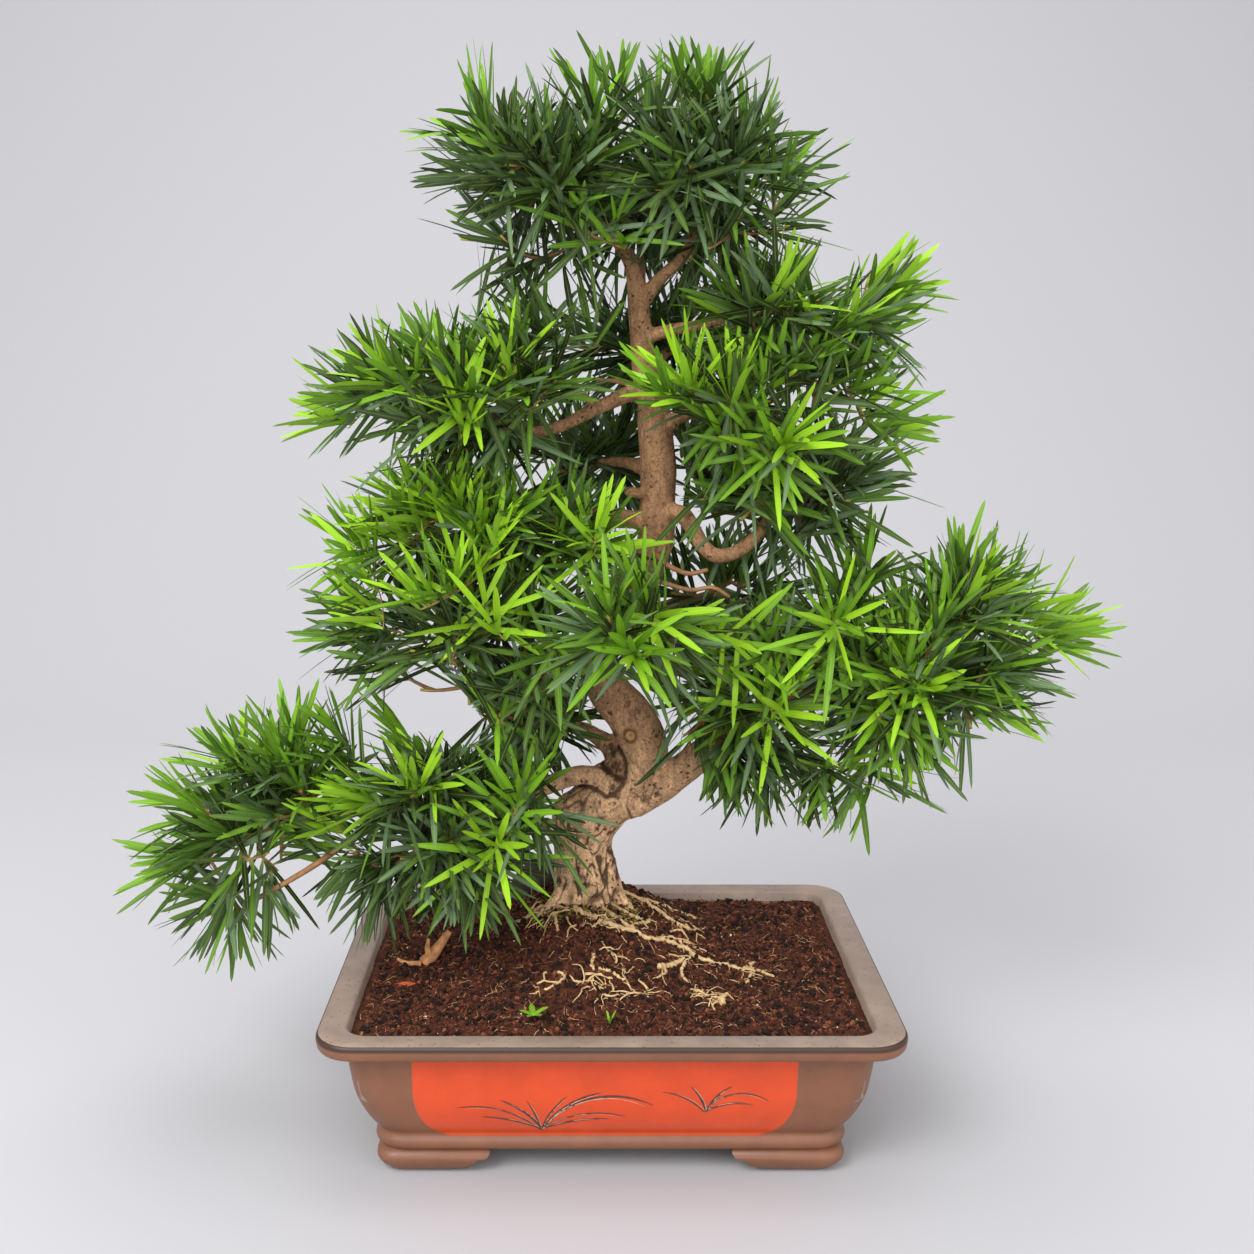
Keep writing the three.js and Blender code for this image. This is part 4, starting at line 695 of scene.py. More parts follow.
def podocarpus_bark(colours):
    """Thin flaking bark: tan plates speckled with dark pits and stained spots, browner higher up, and one
    pruned knot with an orange heart in a dark ring; painted shade darkens its cracks, creases and pits, and
    the spots are partly painted shade"""
    material, tree = new_material("podocarpus_bark", {"Specular IOR Level": 0.2, "Roughness": 0.86})
    place = add(tree, "TexCoord", out="Object")
    # Plates are drawn out along the trunk, and pores are bent out of round by the flecks
    stretch = add(tree, "Mapping", place, Scale=(1.0, 1.0, 0.3))
    plates = add(tree, "TexNoise", stretch, grain_scale(5.263), 7.0, 0.72)
    blotch = add(tree, "TexNoise", place, grain_scale(22.22), 4.0)
    grain = add(tree, "TexNoise", place, grain_scale(1.613), 3.0, 0.7)
    flecks = add(tree, "TexNoise", place, grain_scale(3.03), 4.0, 0.7)
    bent = add(tree, "VectorMath", flecks.node.outputs["Color"], (4 * MM, 4 * MM, 4 * MM), place,
               operation="MULTIPLY_ADD")
    pores = add(tree, "TexVoronoi", bent, grain_scale(4.0))
    old = add(tree, "MapRange", add(tree, "SeparateXYZ", place, out="Z"), 0.28, 0.17)
    surface = add(tree, "Mix", old, colours.young_bark, colours.bark, data_type="RGBA")
    for source, darkest, lightest in ((plates, 0.56, 1.36), (blotch, 0.78, 1.2), (grain, 0.66, 1.34)):
        level = add(tree, "MapRange", source, 0.3, 0.7, darkest, lightest)
        surface = add(tree, "VectorMath", surface, level, operation="SCALE")
    # Flecks and pores: small dark dots, the pores in the patches where the broad noise is low
    fleck = add(tree, "MapRange", flecks, 0.54, 0.63, 0.0, 0.6)
    near = add(tree, "MapRange", blotch, 0.42, 0.6, 0.26, 0.0)
    inner = add(tree, "Math", near, pores, operation="SUBTRACT")
    pore = add(tree, "MapRange", inner, 0.0, 0.08, 0.0, 0.85)
    # Painted shade for the cracks, creases and pits, and the stained spots with their painted shade, are
    # noted on the mesh; the spots' edges are broken up by the flecks
    crack_shade = add(tree, "Attribute", out="Fac", attribute_name="crack_shade")
    deep = add(tree, "MapRange", crack_shade, 0.2, 0.8, 0.0, 0.88)
    stain_and_shade = add(tree, "Attribute", out="Fac", attribute_name="stain_and_shade")
    spread = add(tree, "MapRange", add(tree, "Math", flecks, stain_and_shade), 0.72, 1.15, 0.0, 0.85)
    # The knot: rings round its middle
    away = add(tree, "VectorMath", place, tuple(c * MM for c in KNOT), operation="DISTANCE")
    ring = add(tree, "MapRange", away, 6.4 * MM, 4.4 * MM, 0.0, 0.8)
    heart = add(tree, "MapRange", away, 3.6 * MM, 2.7 * MM)
    pith = add(tree, "MapRange", away, 1.8 * MM, MM, 0.0, 0.8)
    # Painted shade: deep darkens the cracks, creases and pits, and spread darkens the stained spots, partly
    # as shade
    for mask, shade in ((fleck, 0x6B462E), (pore, 0x38241A), (deep, 0x35231A), (spread, 0x42291C),
                        (ring, 0x5C3A22), (heart, 0xC39566), (pith, 0x70401F)):
        surface = add(tree, "Mix", mask, surface, linear(shade), data_type="RGBA")
    sunk = add(tree, "Math", pore, 0.6, operation="MULTIPLY")
    height = add(tree, "Math", plates, sunk, operation="SUBTRACT")
    bump = add(tree, "Bump", 0.8, MM, Height=height)
    return feed(material, {"Base Color": surface, "Normal": bump})


def plain_matter(name, shade, grain, contrast, roughness, relief):
    """A natural stuff of one colour, with darker and lighter patches whose size and relief are millimetres"""
    material, tree = new_material(name, {"Roughness": roughness, "Specular IOR Level": 0.3})
    patches = add(tree, "TexNoise", add(tree, "TexCoord", out="Object"), grain_scale(grain), 5.0)
    level = add(tree, "MapRange", patches, 0.3, 0.7, 1.0 - contrast, 1.0 + contrast)
    tone = add(tree, "VectorMath", shade[:3], level, operation="SCALE")
    bump = add(tree, "Bump", 0.5, relief * MM, Height=patches)
    return feed(material, {"Base Color": tone, "Normal": bump})


def leaf_blade(name, shade):
    """A leathery strap-shaped leaf: waxy enough for a soft highlight, with a pale midrib and foot, a paler
    underside, and its own depth of green"""
    material, tree = new_material(name, {"Roughness": 0.4, "Specular IOR Level": 0.17})
    blade = add(tree, "Attribute", out="Vector", attribute_name="blade")
    parts = add(tree, "SeparateXYZ", blade).node.outputs
    depth = add(tree, "MapRange", parts["Z"], 0.0, 1.0, 0.8, 1.2)
    tone = add(tree, "VectorMath", shade[:3], depth, operation="SCALE")
    rib = add(tree, "MapRange", add(tree, "Math", parts["Y"], operation="ABSOLUTE"), 0.2, 0.06, 0.0, 0.32)
    foot = add(tree, "MapRange", parts["X"], 0.16, 0.0, 0.0, 0.7)
    under = add(tree, "Math", add(tree, "NewGeometry", out="Backfacing"), 0.22, operation="MULTIPLY")
    pale = blended(shade, linear(0xC4CF7A), 0.55)
    for mask, mixed in ((rib, pale), (foot, pale), (under, blended(shade, linear(0x8FA383), 0.3))):
        tone = add(tree, "Mix", mask, tone, mixed, data_type="RGBA")
    return feed(material, {"Base Color": tone})


# Mesh helpers


def finish_piece(obj, name, material, nodes=()):
    """Name a piece, give it its material, body, slot and the nodes that it stands for"""
    obj.name = name
    obj.data.name = name
    obj.data.materials.clear()
    obj.data.materials.append(material)
    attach(obj, BODY)
    if nodes:
        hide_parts(*nodes)


def start_fresh():
    """Deselect everything, so that an operator acts only on what is added next"""
    bpy.ops.object.select_all(action="DESELECT")


def only(obj):
    """Select one object and make it active"""
    start_fresh()
    obj.select_set(True)
    bpy.context.view_layer.objects.active = obj


def apply_modifier(obj, kind, **settings):
    """Give an object a modifier with its settings, and apply it"""
    only(obj)
    modifier = obj.modifiers.new(kind.lower(), kind)
    for key, value in settings.items():
        setattr(modifier, key, value)
    bpy.ops.object.modifier_apply(modifier=modifier.name)


def extrude_by(x, y, z):
    """Extrude what is selected in edit mode, by metres"""
    bpy.ops.mesh.extrude_region_move(TRANSFORM_OT_translate={"value": (x, y, z)})


def close_shape():
    """Turn all faces of the shape in edit mode outwards, and leave edit mode"""
    bpy.ops.mesh.select_all(action="SELECT")
    bpy.ops.mesh.normals_make_consistent(inside=False)
    bpy.ops.object.mode_set(mode="OBJECT")


def places_of(mesh):
    """The places of a mesh's points, in millimetres"""
    places = np.empty(len(mesh.vertices) * 3)
    mesh.vertices.foreach_get("co", places)
    return places.reshape(-1, 3) / MM


def move_points(mesh, places):
    mesh.vertices.foreach_set("co", (places * MM).ravel())
    mesh.update()


def note(mesh, name, values):
    """Note a number or three at each point of a mesh, for its material to read"""
    kind, key = ("FLOAT", "value") if values.ndim == 1 else ("FLOAT_VECTOR", "vector")
    mesh.attributes.new(name, kind, "POINT").data.foreach_set(key, values.ravel())


def mesh_object(name, vertices, faces, smooth=True):
    """An object from points in millimetres and lists of faces"""
    mesh = bpy.data.meshes.new(name)
    mesh.from_pydata((np.asarray(vertices) * MM).tolist(), [], faces)
    mesh.update()
    if smooth:
        mesh.polygons.foreach_set("use_smooth", [True] * len(mesh.polygons))
    obj = bpy.data.objects.new(name, mesh)
    bpy.context.scene.collection.objects.link(obj)
    return obj


def joined_object(name, parts, smooth=True):
    """One object from several parts, each its points and its faces"""
    faces = []
    count = 0
    for points, polygons in parts:
        faces.extend([[index + count for index in polygon] for polygon in polygons])
        count += len(points)
    return mesh_object(name, np.vstack([points for points, _ in parts]), faces, smooth)


def seeded_random(seed):
    """A repeatable stream of numbers from 0 to 1, as the solids use"""
    mask = 0xFFFFFFFF
    state = seed & mask

    def draw():
        nonlocal state
        state = (state + 0x6D2B79F5) & mask
        mixed = ((state ^ (state >> 15)) * (state | 1)) & mask
        mixed ^= (mixed + (((mixed ^ (mixed >> 7)) * (mixed | 61)) & mask)) & mask
        return ((mixed ^ (mixed >> 14)) & mask) / 4294967296

    return draw


def smooth_line(line, count):
    """Points evenly spaced along the centripetal curve through a line"""
    points = np.array(line, float)
    points = np.vstack([2 * points[0] - points[1], points, 2 * points[-1] - points[-2]])
    dense = []
    shares = np.linspace(0, 1, 25)[:, None]
    for p0, p1, p2, p3 in zip(points, points[1:], points[2:], points[3:]):
        d0, d1, d2 = [max(np.linalg.norm(b - a), 1e-4) ** 0.5 for a, b in ((p0, p1), (p1, p2), (p2, p3))]
        t1 = ((p1 - p0) / d0 - (p2 - p0) / (d0 + d1) + (p2 - p1) / d1) * d1
        t2 = ((p2 - p1) / d1 - (p3 - p1) / (d1 + d2) + (p3 - p2) / d2) * d1
        dense.append(p1 + t1 * shares + (-3 * p1 + 3 * p2 - 2 * t1 - t2) * shares ** 2
                     + (2 * p1 - 2 * p2 + t1 + t2) * shares ** 3)
    dense = np.vstack(dense)
    along = distances_along(dense)
    return points_at(dense, along, np.linspace(0, along[-1], count))


def distances_along(line):
    return np.concatenate([[0], np.cumsum(np.linalg.norm(np.diff(line, axis=0), axis=1))])


def points_at(line, along, wanted):
    """Points at wanted distances along a line"""
    return np.column_stack([np.interp(wanted, along, line[:, axis]) for axis in range(3)])


def smooth_plan(plan, count):
    """A smooth line through points of the plan, at height zero"""
    return smooth_line([(*point, 0) for point in plan], count)


def arc(start, middle, end, count):
    """Points on the curve from start to end that middle draws aside"""
    shares = np.linspace(0, 1, count)[:, None]
    return start * (1 - shares) ** 2 + middle * 2 * shares * (1 - shares) + end * shares ** 2


def unit(vectors):
    return vectors / np.maximum(np.linalg.norm(vectors, axis=-1, keepdims=True), 1e-9)


def across_from(way):
    """Two directions square to a direction and to each other"""
    first = unit(np.cross((0.0, 0.0, 1.0) if abs(way[2]) < 0.9 else (1.0, 0.0, 0.0), way))
    return first, np.cross(way, first)


def tube(points, radii, sides):
    """A closed round tube through points, as its own points and faces"""
    points = np.asarray(points, float)
    tangents = unit(np.gradient(points, axis=0))
    first = across_from(tangents[0])[0]
    angles = np.linspace(0, 2 * math.pi, sides, endpoint=False)
    rings = []
    for point, tangent, radius in zip(points, tangents, radii):
        first = unit(first - tangent * np.dot(first, tangent))
        second = np.cross(tangent, first)
        rings.append(point + radius * (np.cos(angles)[:, None] * first + np.sin(angles)[:, None] * second))
    last = (len(points) - 1) * sides
    faces = [[row + side, row + (side + 1) % sides, row + sides + (side + 1) % sides, row + sides + side]
             for row in range(0, last, sides) for side in range(sides)]
    faces += [list(range(sides))[::-1], list(range(last, last + sides))]
    return np.vstack(rings), faces


def tapered(radii, count, power=0.8):
    return radii[0] + (radii[1] - radii[0]) * np.linspace(0, 1, count) ** power


# Pot


def extrude_rows(start, rows):
    """Extrude the selected face through the rows of a section, and size each about the pot's axis"""
    row = start
    for new_row in rows:
        extrude_by(0, 0, (new_row[1] - row[1]) * MM)
        across, deep = [(half - new_row[0]) / (half - row[0]) for half in POT_HALF]
        bpy.ops.transform.resize(value=(across, deep, 1.0), center_override=(0, 0, 0))
        row = new_row
    return row


def select_above(obj, height):
    """Select only the faces of a shape in edit mode whose centres are above a height"""
    bpy.ops.mesh.select_all(action="DESELECT")
    mesh = bmesh.from_edit_mesh(obj.data)
    for face in mesh.faces:
        if face.calc_center_median().z > height * MM:
            face.select = True
    mesh.select_flush_mode()
    bmesh.update_edit_mesh(obj.data)


def round_plate(row, corner):
    """A flat plate with round corners at a row of the pot's section, in edit mode with all of it selected"""
    start_fresh()
    bpy.ops.mesh.primitive_plane_add(size=2, location=(0, 0, 0))
    plate = bpy.context.object
    bpy.ops.object.mode_set(mode="EDIT")
    bpy.ops.mesh.select_all(action="SELECT")
    bpy.ops.transform.resize(value=((POT_HALF[0] - row[0]) * MM, (POT_HALF[1] - row[0]) * MM, 1.0))
    bpy.ops.transform.translate(value=(0, 0, row[1] * MM))
    bpy.ops.mesh.bevel(offset=corner * MM, segments=CORNER_STEPS, affect="VERTICES")
    bpy.ops.mesh.select_all(action="SELECT")
    return plate


def body_rows():
    """Rows evenly spaced along the smooth curve of the pot's wall"""
    return smooth_plan(BODY_LINE, BODY_ROWS)[:, :2]


def make_pot_body():
    pot = round_plate(RIM_SIDE, RIM_CORNER)
    extrude_rows(RIM_SIDE, [*UNDER_RIM_ROWS, *body_rows(), *MOULDING_ROWS])
    select_above(pot, RIM_SIDE[1] - 0.01)
    row = extrude_rows(RIM_SIDE, RIM_ROWS)
    bpy.ops.mesh.inset(thickness=(LIP_INSET - row[0]) * MM, depth=0)
    extrude_rows((LIP_INSET, row[1]), LIP_ROWS)
    close_shape()
    return pot


def dust_rim(pot):
    """Mark the points of the rim's top and the pot's inside, which are dusted with dried soil"""
    places = places_of(pot.data)
    inset = np.min(POT_HALF - np.abs(places[:, :2]), axis=1)
    height = places[:, 2]
    dusted = height > DUSTED_TOP
    for least_inset, least_height in (DUSTED_LIP, DUSTED_WALL):
        dusted |= (inset > least_inset) & (height > least_height)
    note(pot.data, "dusted", dusted.astype(float))


def make_foot_gap(half_span, turned):
    """A prism across the pot with the scrolled outline of the gap between two feet"""
    outline = [(half_span + share * SCROLL_LENGTH, height) for share, height in FOOT_SCROLL]
    points = [(-x, z) for x, z in reversed(outline)]
    points += [(-half_span, FOOT_TOP + 4), (half_span, FOOT_TOP + 4), *outline]
    count = len(points)
    prism = [(x, reach, z) for reach in (-GAP_REACH, GAP_REACH) for x, z in points]
    if turned:
        prism = [(-y, x, z) for x, y, z in prism]
    faces = [list(range(count)), list(range(count, 2 * count))[::-1]]
    faces += [[(i + 1) % count, i, i + count, (i + 1) % count + count] for i in range(count)]
    gap = mesh_object("foot_gap", prism, faces, smooth=False)
    only(gap)
    bpy.ops.object.mode_set(mode="EDIT")
    close_shape()
    return gap


def make_feet():
    feet = round_plate(FOOT_START, FOOT_CORNER)
    row = extrude_rows(FOOT_START, FOOT_ROWS)
    bpy.ops.mesh.inset(thickness=FOOT_SOLE * MM, depth=0)
    extrude_by(0, 0, (FOOT_TOP - row[1] - 1) * MM)
    close_shape()
    for half, foot, turned in zip(POT_HALF, (FRONT_FOOT, SIDE_FOOT), (False, True)):
        gap = make_foot_gap(half - FOOT_INSET - foot, turned)
        apply_modifier(feet, "BOOLEAN", operation="DIFFERENCE", solver="MANIFOLD", object=gap)
        bpy.data.objects.remove(gap)
    return feet


def soften_edges(obj, width, angle):
    """Round the sharp edges a little, as fired clay has them"""
    apply_modifier(obj, "BEVEL", width=width * MM, segments=2, limit_method="ANGLE",
                   angle_limit=math.radians(angle))
    bpy.ops.object.shade_smooth_by_angle(angle=math.radians(SMOOTH_ANGLE))


def body_front(height):
    """How far in front of the pot's axis its front face stands at a height"""
    insets, heights = body_rows()[::-1].T
    return np.interp(height, heights, insets) - POT_HALF[1]


def brush_stroke(root, first, last, reach, width):
    """A tapering ribbon on the front face that bows over from its first heading to its last"""
    headings = np.radians(np.linspace(first, last, STROKE_STEPS))
    x = root[0] + np.concatenate([[0], np.cumsum(np.sin(headings))]) * reach / STROKE_STEPS
    z = root[1] + np.concatenate([[0], np.cumsum(np.cos(headings))]) * reach / STROKE_STEPS
    shares = np.linspace(0, 1, STROKE_STEPS + 1)
    half = width * (0.2 + 0.8 * np.sin(math.pi * np.minimum(shares * 0.9 + 0.1, 1)) ** 0.7)
    slope = np.arctan2(np.gradient(z), np.gradient(x))
    sides = []
    for aside in (-half, half):
        side_z = z + aside * np.cos(slope)
        sides.append(np.column_stack([x - aside * np.sin(slope), body_front(side_z) - STROKE_STAND, side_z]))
    count = STROKE_STEPS + 1
    return np.vstack(sides), [[i, i + 1, count + i + 1, count + i] for i in range(STROKE_STEPS)]


def make_grass(name, aside, width, share):
    """Tufts of long grass in loose brush strokes, a common ornament on such pots; set aside and thinner, the
    same strokes make the pale painted highlight beside them
    """
    strokes = []
    for root, blades in GRASS_TUFTS:
        for number, (first, last, reach) in enumerate(blades):
            start = (root[0] + aside + (number % 3 - 1) * 0.8, root[1] + aside + (number % 2) * 0.8)
            broad = width * (0.75 + 0.2 * (number % 3))
            strokes.append(brush_stroke(start, first, last, reach * share, broad))
    return joined_object(name, strokes)


# Soil


def mound(x, y):
    """Smooth height of the soil over plan points"""
    run = np.where(y > TRUNK_FOOT[1], MOUND_RUN_BACK, MOUND_RUN_FRONT)
    away = np.hypot(x - TRUNK_FOOT[0], y - TRUNK_FOOT[1])
    shrink = np.maximum(0, away - MOUND_TOP_RADIUS) / np.maximum(away, 1)
    fall = np.hypot((x - TRUNK_FOOT[0]) / MOUND_RUN_SIDE, (y - TRUNK_FOOT[1]) / run) * shrink
    return SOIL_EDGE + (TRUNK_FOOT[2] - SOIL_EDGE) * np.exp(-fall * fall)


def soil_height(x, y):
    """Height of the lumpy soil at one plan point, which sinks towards the pot's wall"""
    broad = noise.noise(Vector((x / 26, y / 26, 0.3))) * 2.2
    fine = noise.fractal(Vector((x / 5, y / 5, 1.7)), 0.8, 2.2, 4) * 1.2
    edge = max(abs(x) / SOIL_HALF[0], abs(y) / SOIL_HALF[1])
    lumps = (broad + fine) * min(1.0, (1.02 - edge) * 12) - 2.4 * max(0.0, edge - 0.9) * 10
    return float(mound(np.array(x), np.array(y))) + lumps


def make_soil():
    """A grid raised to the soil's height, with a skirt and a floor below it"""
    start_fresh()
    bpy.ops.mesh.primitive_grid_add(x_subdivisions=SOIL_GRID[0], y_subdivisions=SOIL_GRID[1], size=2)
    soil = bpy.context.object
    bpy.ops.object.mode_set(mode="EDIT")
    bpy.ops.mesh.select_all(action="SELECT")
    bpy.ops.transform.resize(value=(SOIL_HALF[0] * MM, SOIL_HALF[1] * MM, 1.0))
    bpy.ops.object.mode_set(mode="OBJECT")
    places = places_of(soil.data)
    places[:, 2] = [soil_height(x, y) for x, y, _ in places]
    move_points(soil.data, places)
    bpy.ops.object.mode_set(mode="EDIT")
    bpy.ops.mesh.select_all(action="DESELECT")
    bpy.ops.mesh.select_mode(type="EDGE")
    bpy.ops.mesh.select_non_manifold()
    extrude_by(0, 0, -SKIRT_DEPTH * MM)
    bpy.ops.transform.resize(value=SKIRT_TAPER, center_override=(0, 0, 0))
    bpy.ops.mesh.fill()
    bpy.ops.mesh.select_mode(type="VERT")
    close_shape()
    bpy.ops.object.shade_smooth()
    return soil


def crumb_faces():
    """Faces of the hull round the crumb's points"""
    mesh = bmesh.new()
    for point in CRUMB_POINTS:
        mesh.verts.new(point)
    bmesh.ops.convex_hull(mesh, input=mesh.verts)
    mesh.verts.index_update()
    faces = [[vertex.index for vertex in face.verts] for face in mesh.faces]
    mesh.free()
    return faces


def soil_places(random, count, ground=ALL_SOIL):
    """Plan points on the soil, clear of the trunk's foot"""
    places = []
    while len(places) < count:
        x = ground[0] + (2 * random() - 1) * ground[2]
        y = ground[1] + (2 * random() - 1) * ground[3]
        if math.hypot(x - TRUNK_FOOT[0], y - TRUNK_FOOT[1]) > BARE_RADIUS:
            places.append((x, y))
    return places


def turned(points, random):
    """Points turned at random about all axes"""
    a, b, c = [2 * math.pi * random() for _ in range(3)]
    about_z = np.array([[math.cos(a), -math.sin(a), 0], [math.sin(a), math.cos(a), 0], [0, 0, 1]])
    about_x = np.array([[1, 0, 0], [0, math.cos(b), -math.sin(b)], [0, math.sin(b), math.cos(b)]])
    about_y = np.array([[math.cos(c), 0, math.sin(c)], [0, 1, 0], [-math.sin(c), 0, math.cos(c)]])
    return points @ (about_z @ about_x @ about_y).T


def scatter_crumbs(name, seed, count, smallest, largest, ground):
    """Crumbs half sunk in the soil, most of them small"""
    random = seeded_random(seed)
    faces = crumb_faces()
    crumbs = []
    for x, y in soil_places(random, count, ground):
        size = smallest + (largest - smallest) * random() ** 2.2
        shape = np.array([1.0, 0.6 + 0.4 * random(), 0.45 + 0.4 * random()])
        points = turned(CRUMB_POINTS * size * shape, random)
        crumbs.append((points + (x, y, soil_height(x, y) + size * 0.25), faces))
    return joined_object(name, crumbs, smooth=False)


def scatter_fibres(name, seed, count, longest, radius):
    """Thin bent fibres lying on the soil"""
    random = seeded_random(seed)
    fibres = []
    for x, y in soil_places(random, count):
        heading = 2 * math.pi * random()
        step = longest * (0.3 + 0.7 * random()) / (FIBRE_POINTS - 1)
        turn = (random() - 0.5) * 2.4
        line = []
        for _ in range(FIBRE_POINTS):
            line.append((x, y, soil_height(x, y) + radius + 0.4 + 1.2 * random()))
            x = min(max(x + step * math.cos(heading), -FIBRE_HALF[0]), FIBRE_HALF[0])
            y = min(max(y + step * math.sin(heading), -FIBRE_HALF[1]), FIBRE_HALF[1])
            heading += turn / (FIBRE_POINTS - 1) + (random() - 0.5) * 0.4
        fibres.append(tube(line, tapered((radius, radius * 0.5), FIBRE_POINTS), 3))
    return joined_object(name, fibres)


# Bark


def trunk_radii(line):
    """The trunk's radius at each point of its centre line"""
    heights, radii = np.array(TRUNK_TAPER).T
    return np.interp(line[:, 2], heights, radii)


def make_bark(sizes):
    """Trunk and boughs as one skin: tubes fused by a voxel remesh, then carved with cracks and lumps"""
    trunk = smooth_line(TRUNK_LINE, 90)
    tubes = [tube(trunk, trunk_radii(trunk), TRUNK_SIDES)]
    foot = np.array(TRUNK_FOOT)
    for i in range(FLARES):
        angle = i * 2 * math.pi / FLARES + 0.35 * math.sin(i * 2.7)
        outward = np.array([math.cos(angle), math.sin(angle), 0])
        reach = FLARE_REACH + FLARE_WAVE * math.sin(i * 4.1)
        line = [foot + outward * away + (0, 0, rise)
                for away, rise in ((9, 34), (16, 14), (reach - 6, 1), (reach + 4, -7))]
        tubes.append(tube(smooth_line(line, FLARE_STEPS), tapered(FLARE_RADII, FLARE_STEPS), FLARE_SIDES))
    for radii, line in LIMBS.values():
        count = len(line) * 5
        tubes.append(tube(smooth_line(line, count), tapered(radii, count), LIMB_SIDES))
    for radii, line in PRUNED_STUBS:
        tubes.append(tube(smooth_line(line, STUB_STEPS), tapered(radii, STUB_STEPS, 1.0), STUB_SIDES))
    bark = joined_object("bark", tubes)
    start_fresh()
    bpy.ops.mesh.primitive_uv_sphere_add(segments=24, ring_count=16, radius=SHOULDER[1] * MM,
                                         location=tuple(c * MM for c in SHOULDER[0]))
    bark.select_set(True)
    bpy.context.view_layer.objects.active = bark
    bpy.ops.object.join()
    apply_modifier(bark, "REMESH", mode="VOXEL", voxel_size=sizes.bark_voxel)
    apply_modifier(bark, "SMOOTH", factor=0.5, iterations=6)
    carve_bark(bark.data, sizes.bark_relief / MM)
    bpy.ops.object.shade_smooth()
    return bark


def creases(places):
    """How deep points lie in a crease, from 0 to 1, measured across and up"""
    depth = np.zeros(len(places))
    for half, line in CREASES:
        curve = smooth_line([(x, 0, z) for x, z in line], 60)[:, (0, 2)]
        away = np.min(np.linalg.norm(places[:, None, (0, 2)] - curve[None], axis=2), axis=1)
        depth = np.maximum(depth, np.exp(-(away / half) ** 2))
    return depth * (places[:, 1] < CREASED_FRONT)


def stains_and_shade(places):
    """How dark points are stained and painted with shade, from 0 to 1, measured across and up"""
    x, z, radii, depths = np.array(STAINS_AND_SHADE).T
    away = np.hypot(places[:, None, 0] - x, places[:, None, 2] - z) / radii
    return np.max(depths * np.exp(-away ** 2), axis=1) * (places[:, 1] < STAIN_AND_SHADE_FRONT)


def crack_and_lump(x, y, z):
    """How deep the bark is cracked at a place, and how far its lumps stand out there"""
    warp = noise.noise(Vector((x / 16, y / 16, z / 22))) * 0.8
    long_crack = abs(noise.noise(Vector((x / 7.6 + warp, y / 7.6 - warp, z / 30))))
    cross_crack = abs(noise.noise(Vector((x / 13, y / 13 + 7, z / 7.5 + warp))))
    pit = noise.noise(Vector((x / 3.1, y / 3.1, z / 4.2 + 11)))
    return (max(max(0.0, 1 - long_crack * 9), 0.45 * max(0.0, 1 - cross_crack * 10), (pit - 0.4) * 2.6),
            noise.fractal(Vector((x / 19, y / 19, z / 24)), 0.9, 2.1, 3))


def carve_bark(mesh, relief):
    """Push the skin in at cracks and pits and out at lumps, and note how deep each point lies in cracks and
    creases, for painted shade there, and how dark its stained spots are, partly painted shade
    """
    places = places_of(mesh)
    normals = np.empty(len(places) * 3)
    mesh.vertex_normals.foreach_get("vector", normals)
    normals = normals.reshape(-1, 3)
    trunk = smooth_line(TRUNK_LINE, 60)
    near = np.min(np.linalg.norm(places[:, None, :] - trunk[None, ::3, :], axis=2), axis=1)
    on_trunk = np.clip((34 - near) / 10, 0, 1)
    old = np.clip((300 - places[:, 2]) / 130, 0.22, 1) * (0.35 + 0.65 * on_trunk)
    cracks, lumps = np.array([crack_and_lump(*place) for place in places]).T
    from_knot = np.linalg.norm(places - KNOT, axis=1) / KNOT_RADIUS
    ring = np.exp(-((from_knot - 1) / 0.35) ** 2)
    hollow = np.exp(-(from_knot / 0.55) ** 2)
    cracks = np.clip(cracks, 0, 1) * np.clip(from_knot - 1, 0, 1)
    facing = normals[:, 1] < 0.3
    crease = creases(places) * facing
    stain_and_shade = stains_and_shade(places) * facing
    move = lumps * 1.15 * (0.3 + 0.7 * old) - cracks * relief * old + ring * 1.3 - hollow * 0.9
    move -= crease * CREASE_DEPTH + stain_and_shade * 0.5
    move_points(mesh, places + normals * move[:, None])
    # The cracks, creases and pits are noted for painted shade, and the stained spots for their partly painted
    # shade
    note(mesh, "crack_shade", np.clip(cracks * old * 1.1 + crease, 0, 1))
    note(mesh, "stain_and_shade", np.clip(stain_and_shade, 0, 1))


# Foliage


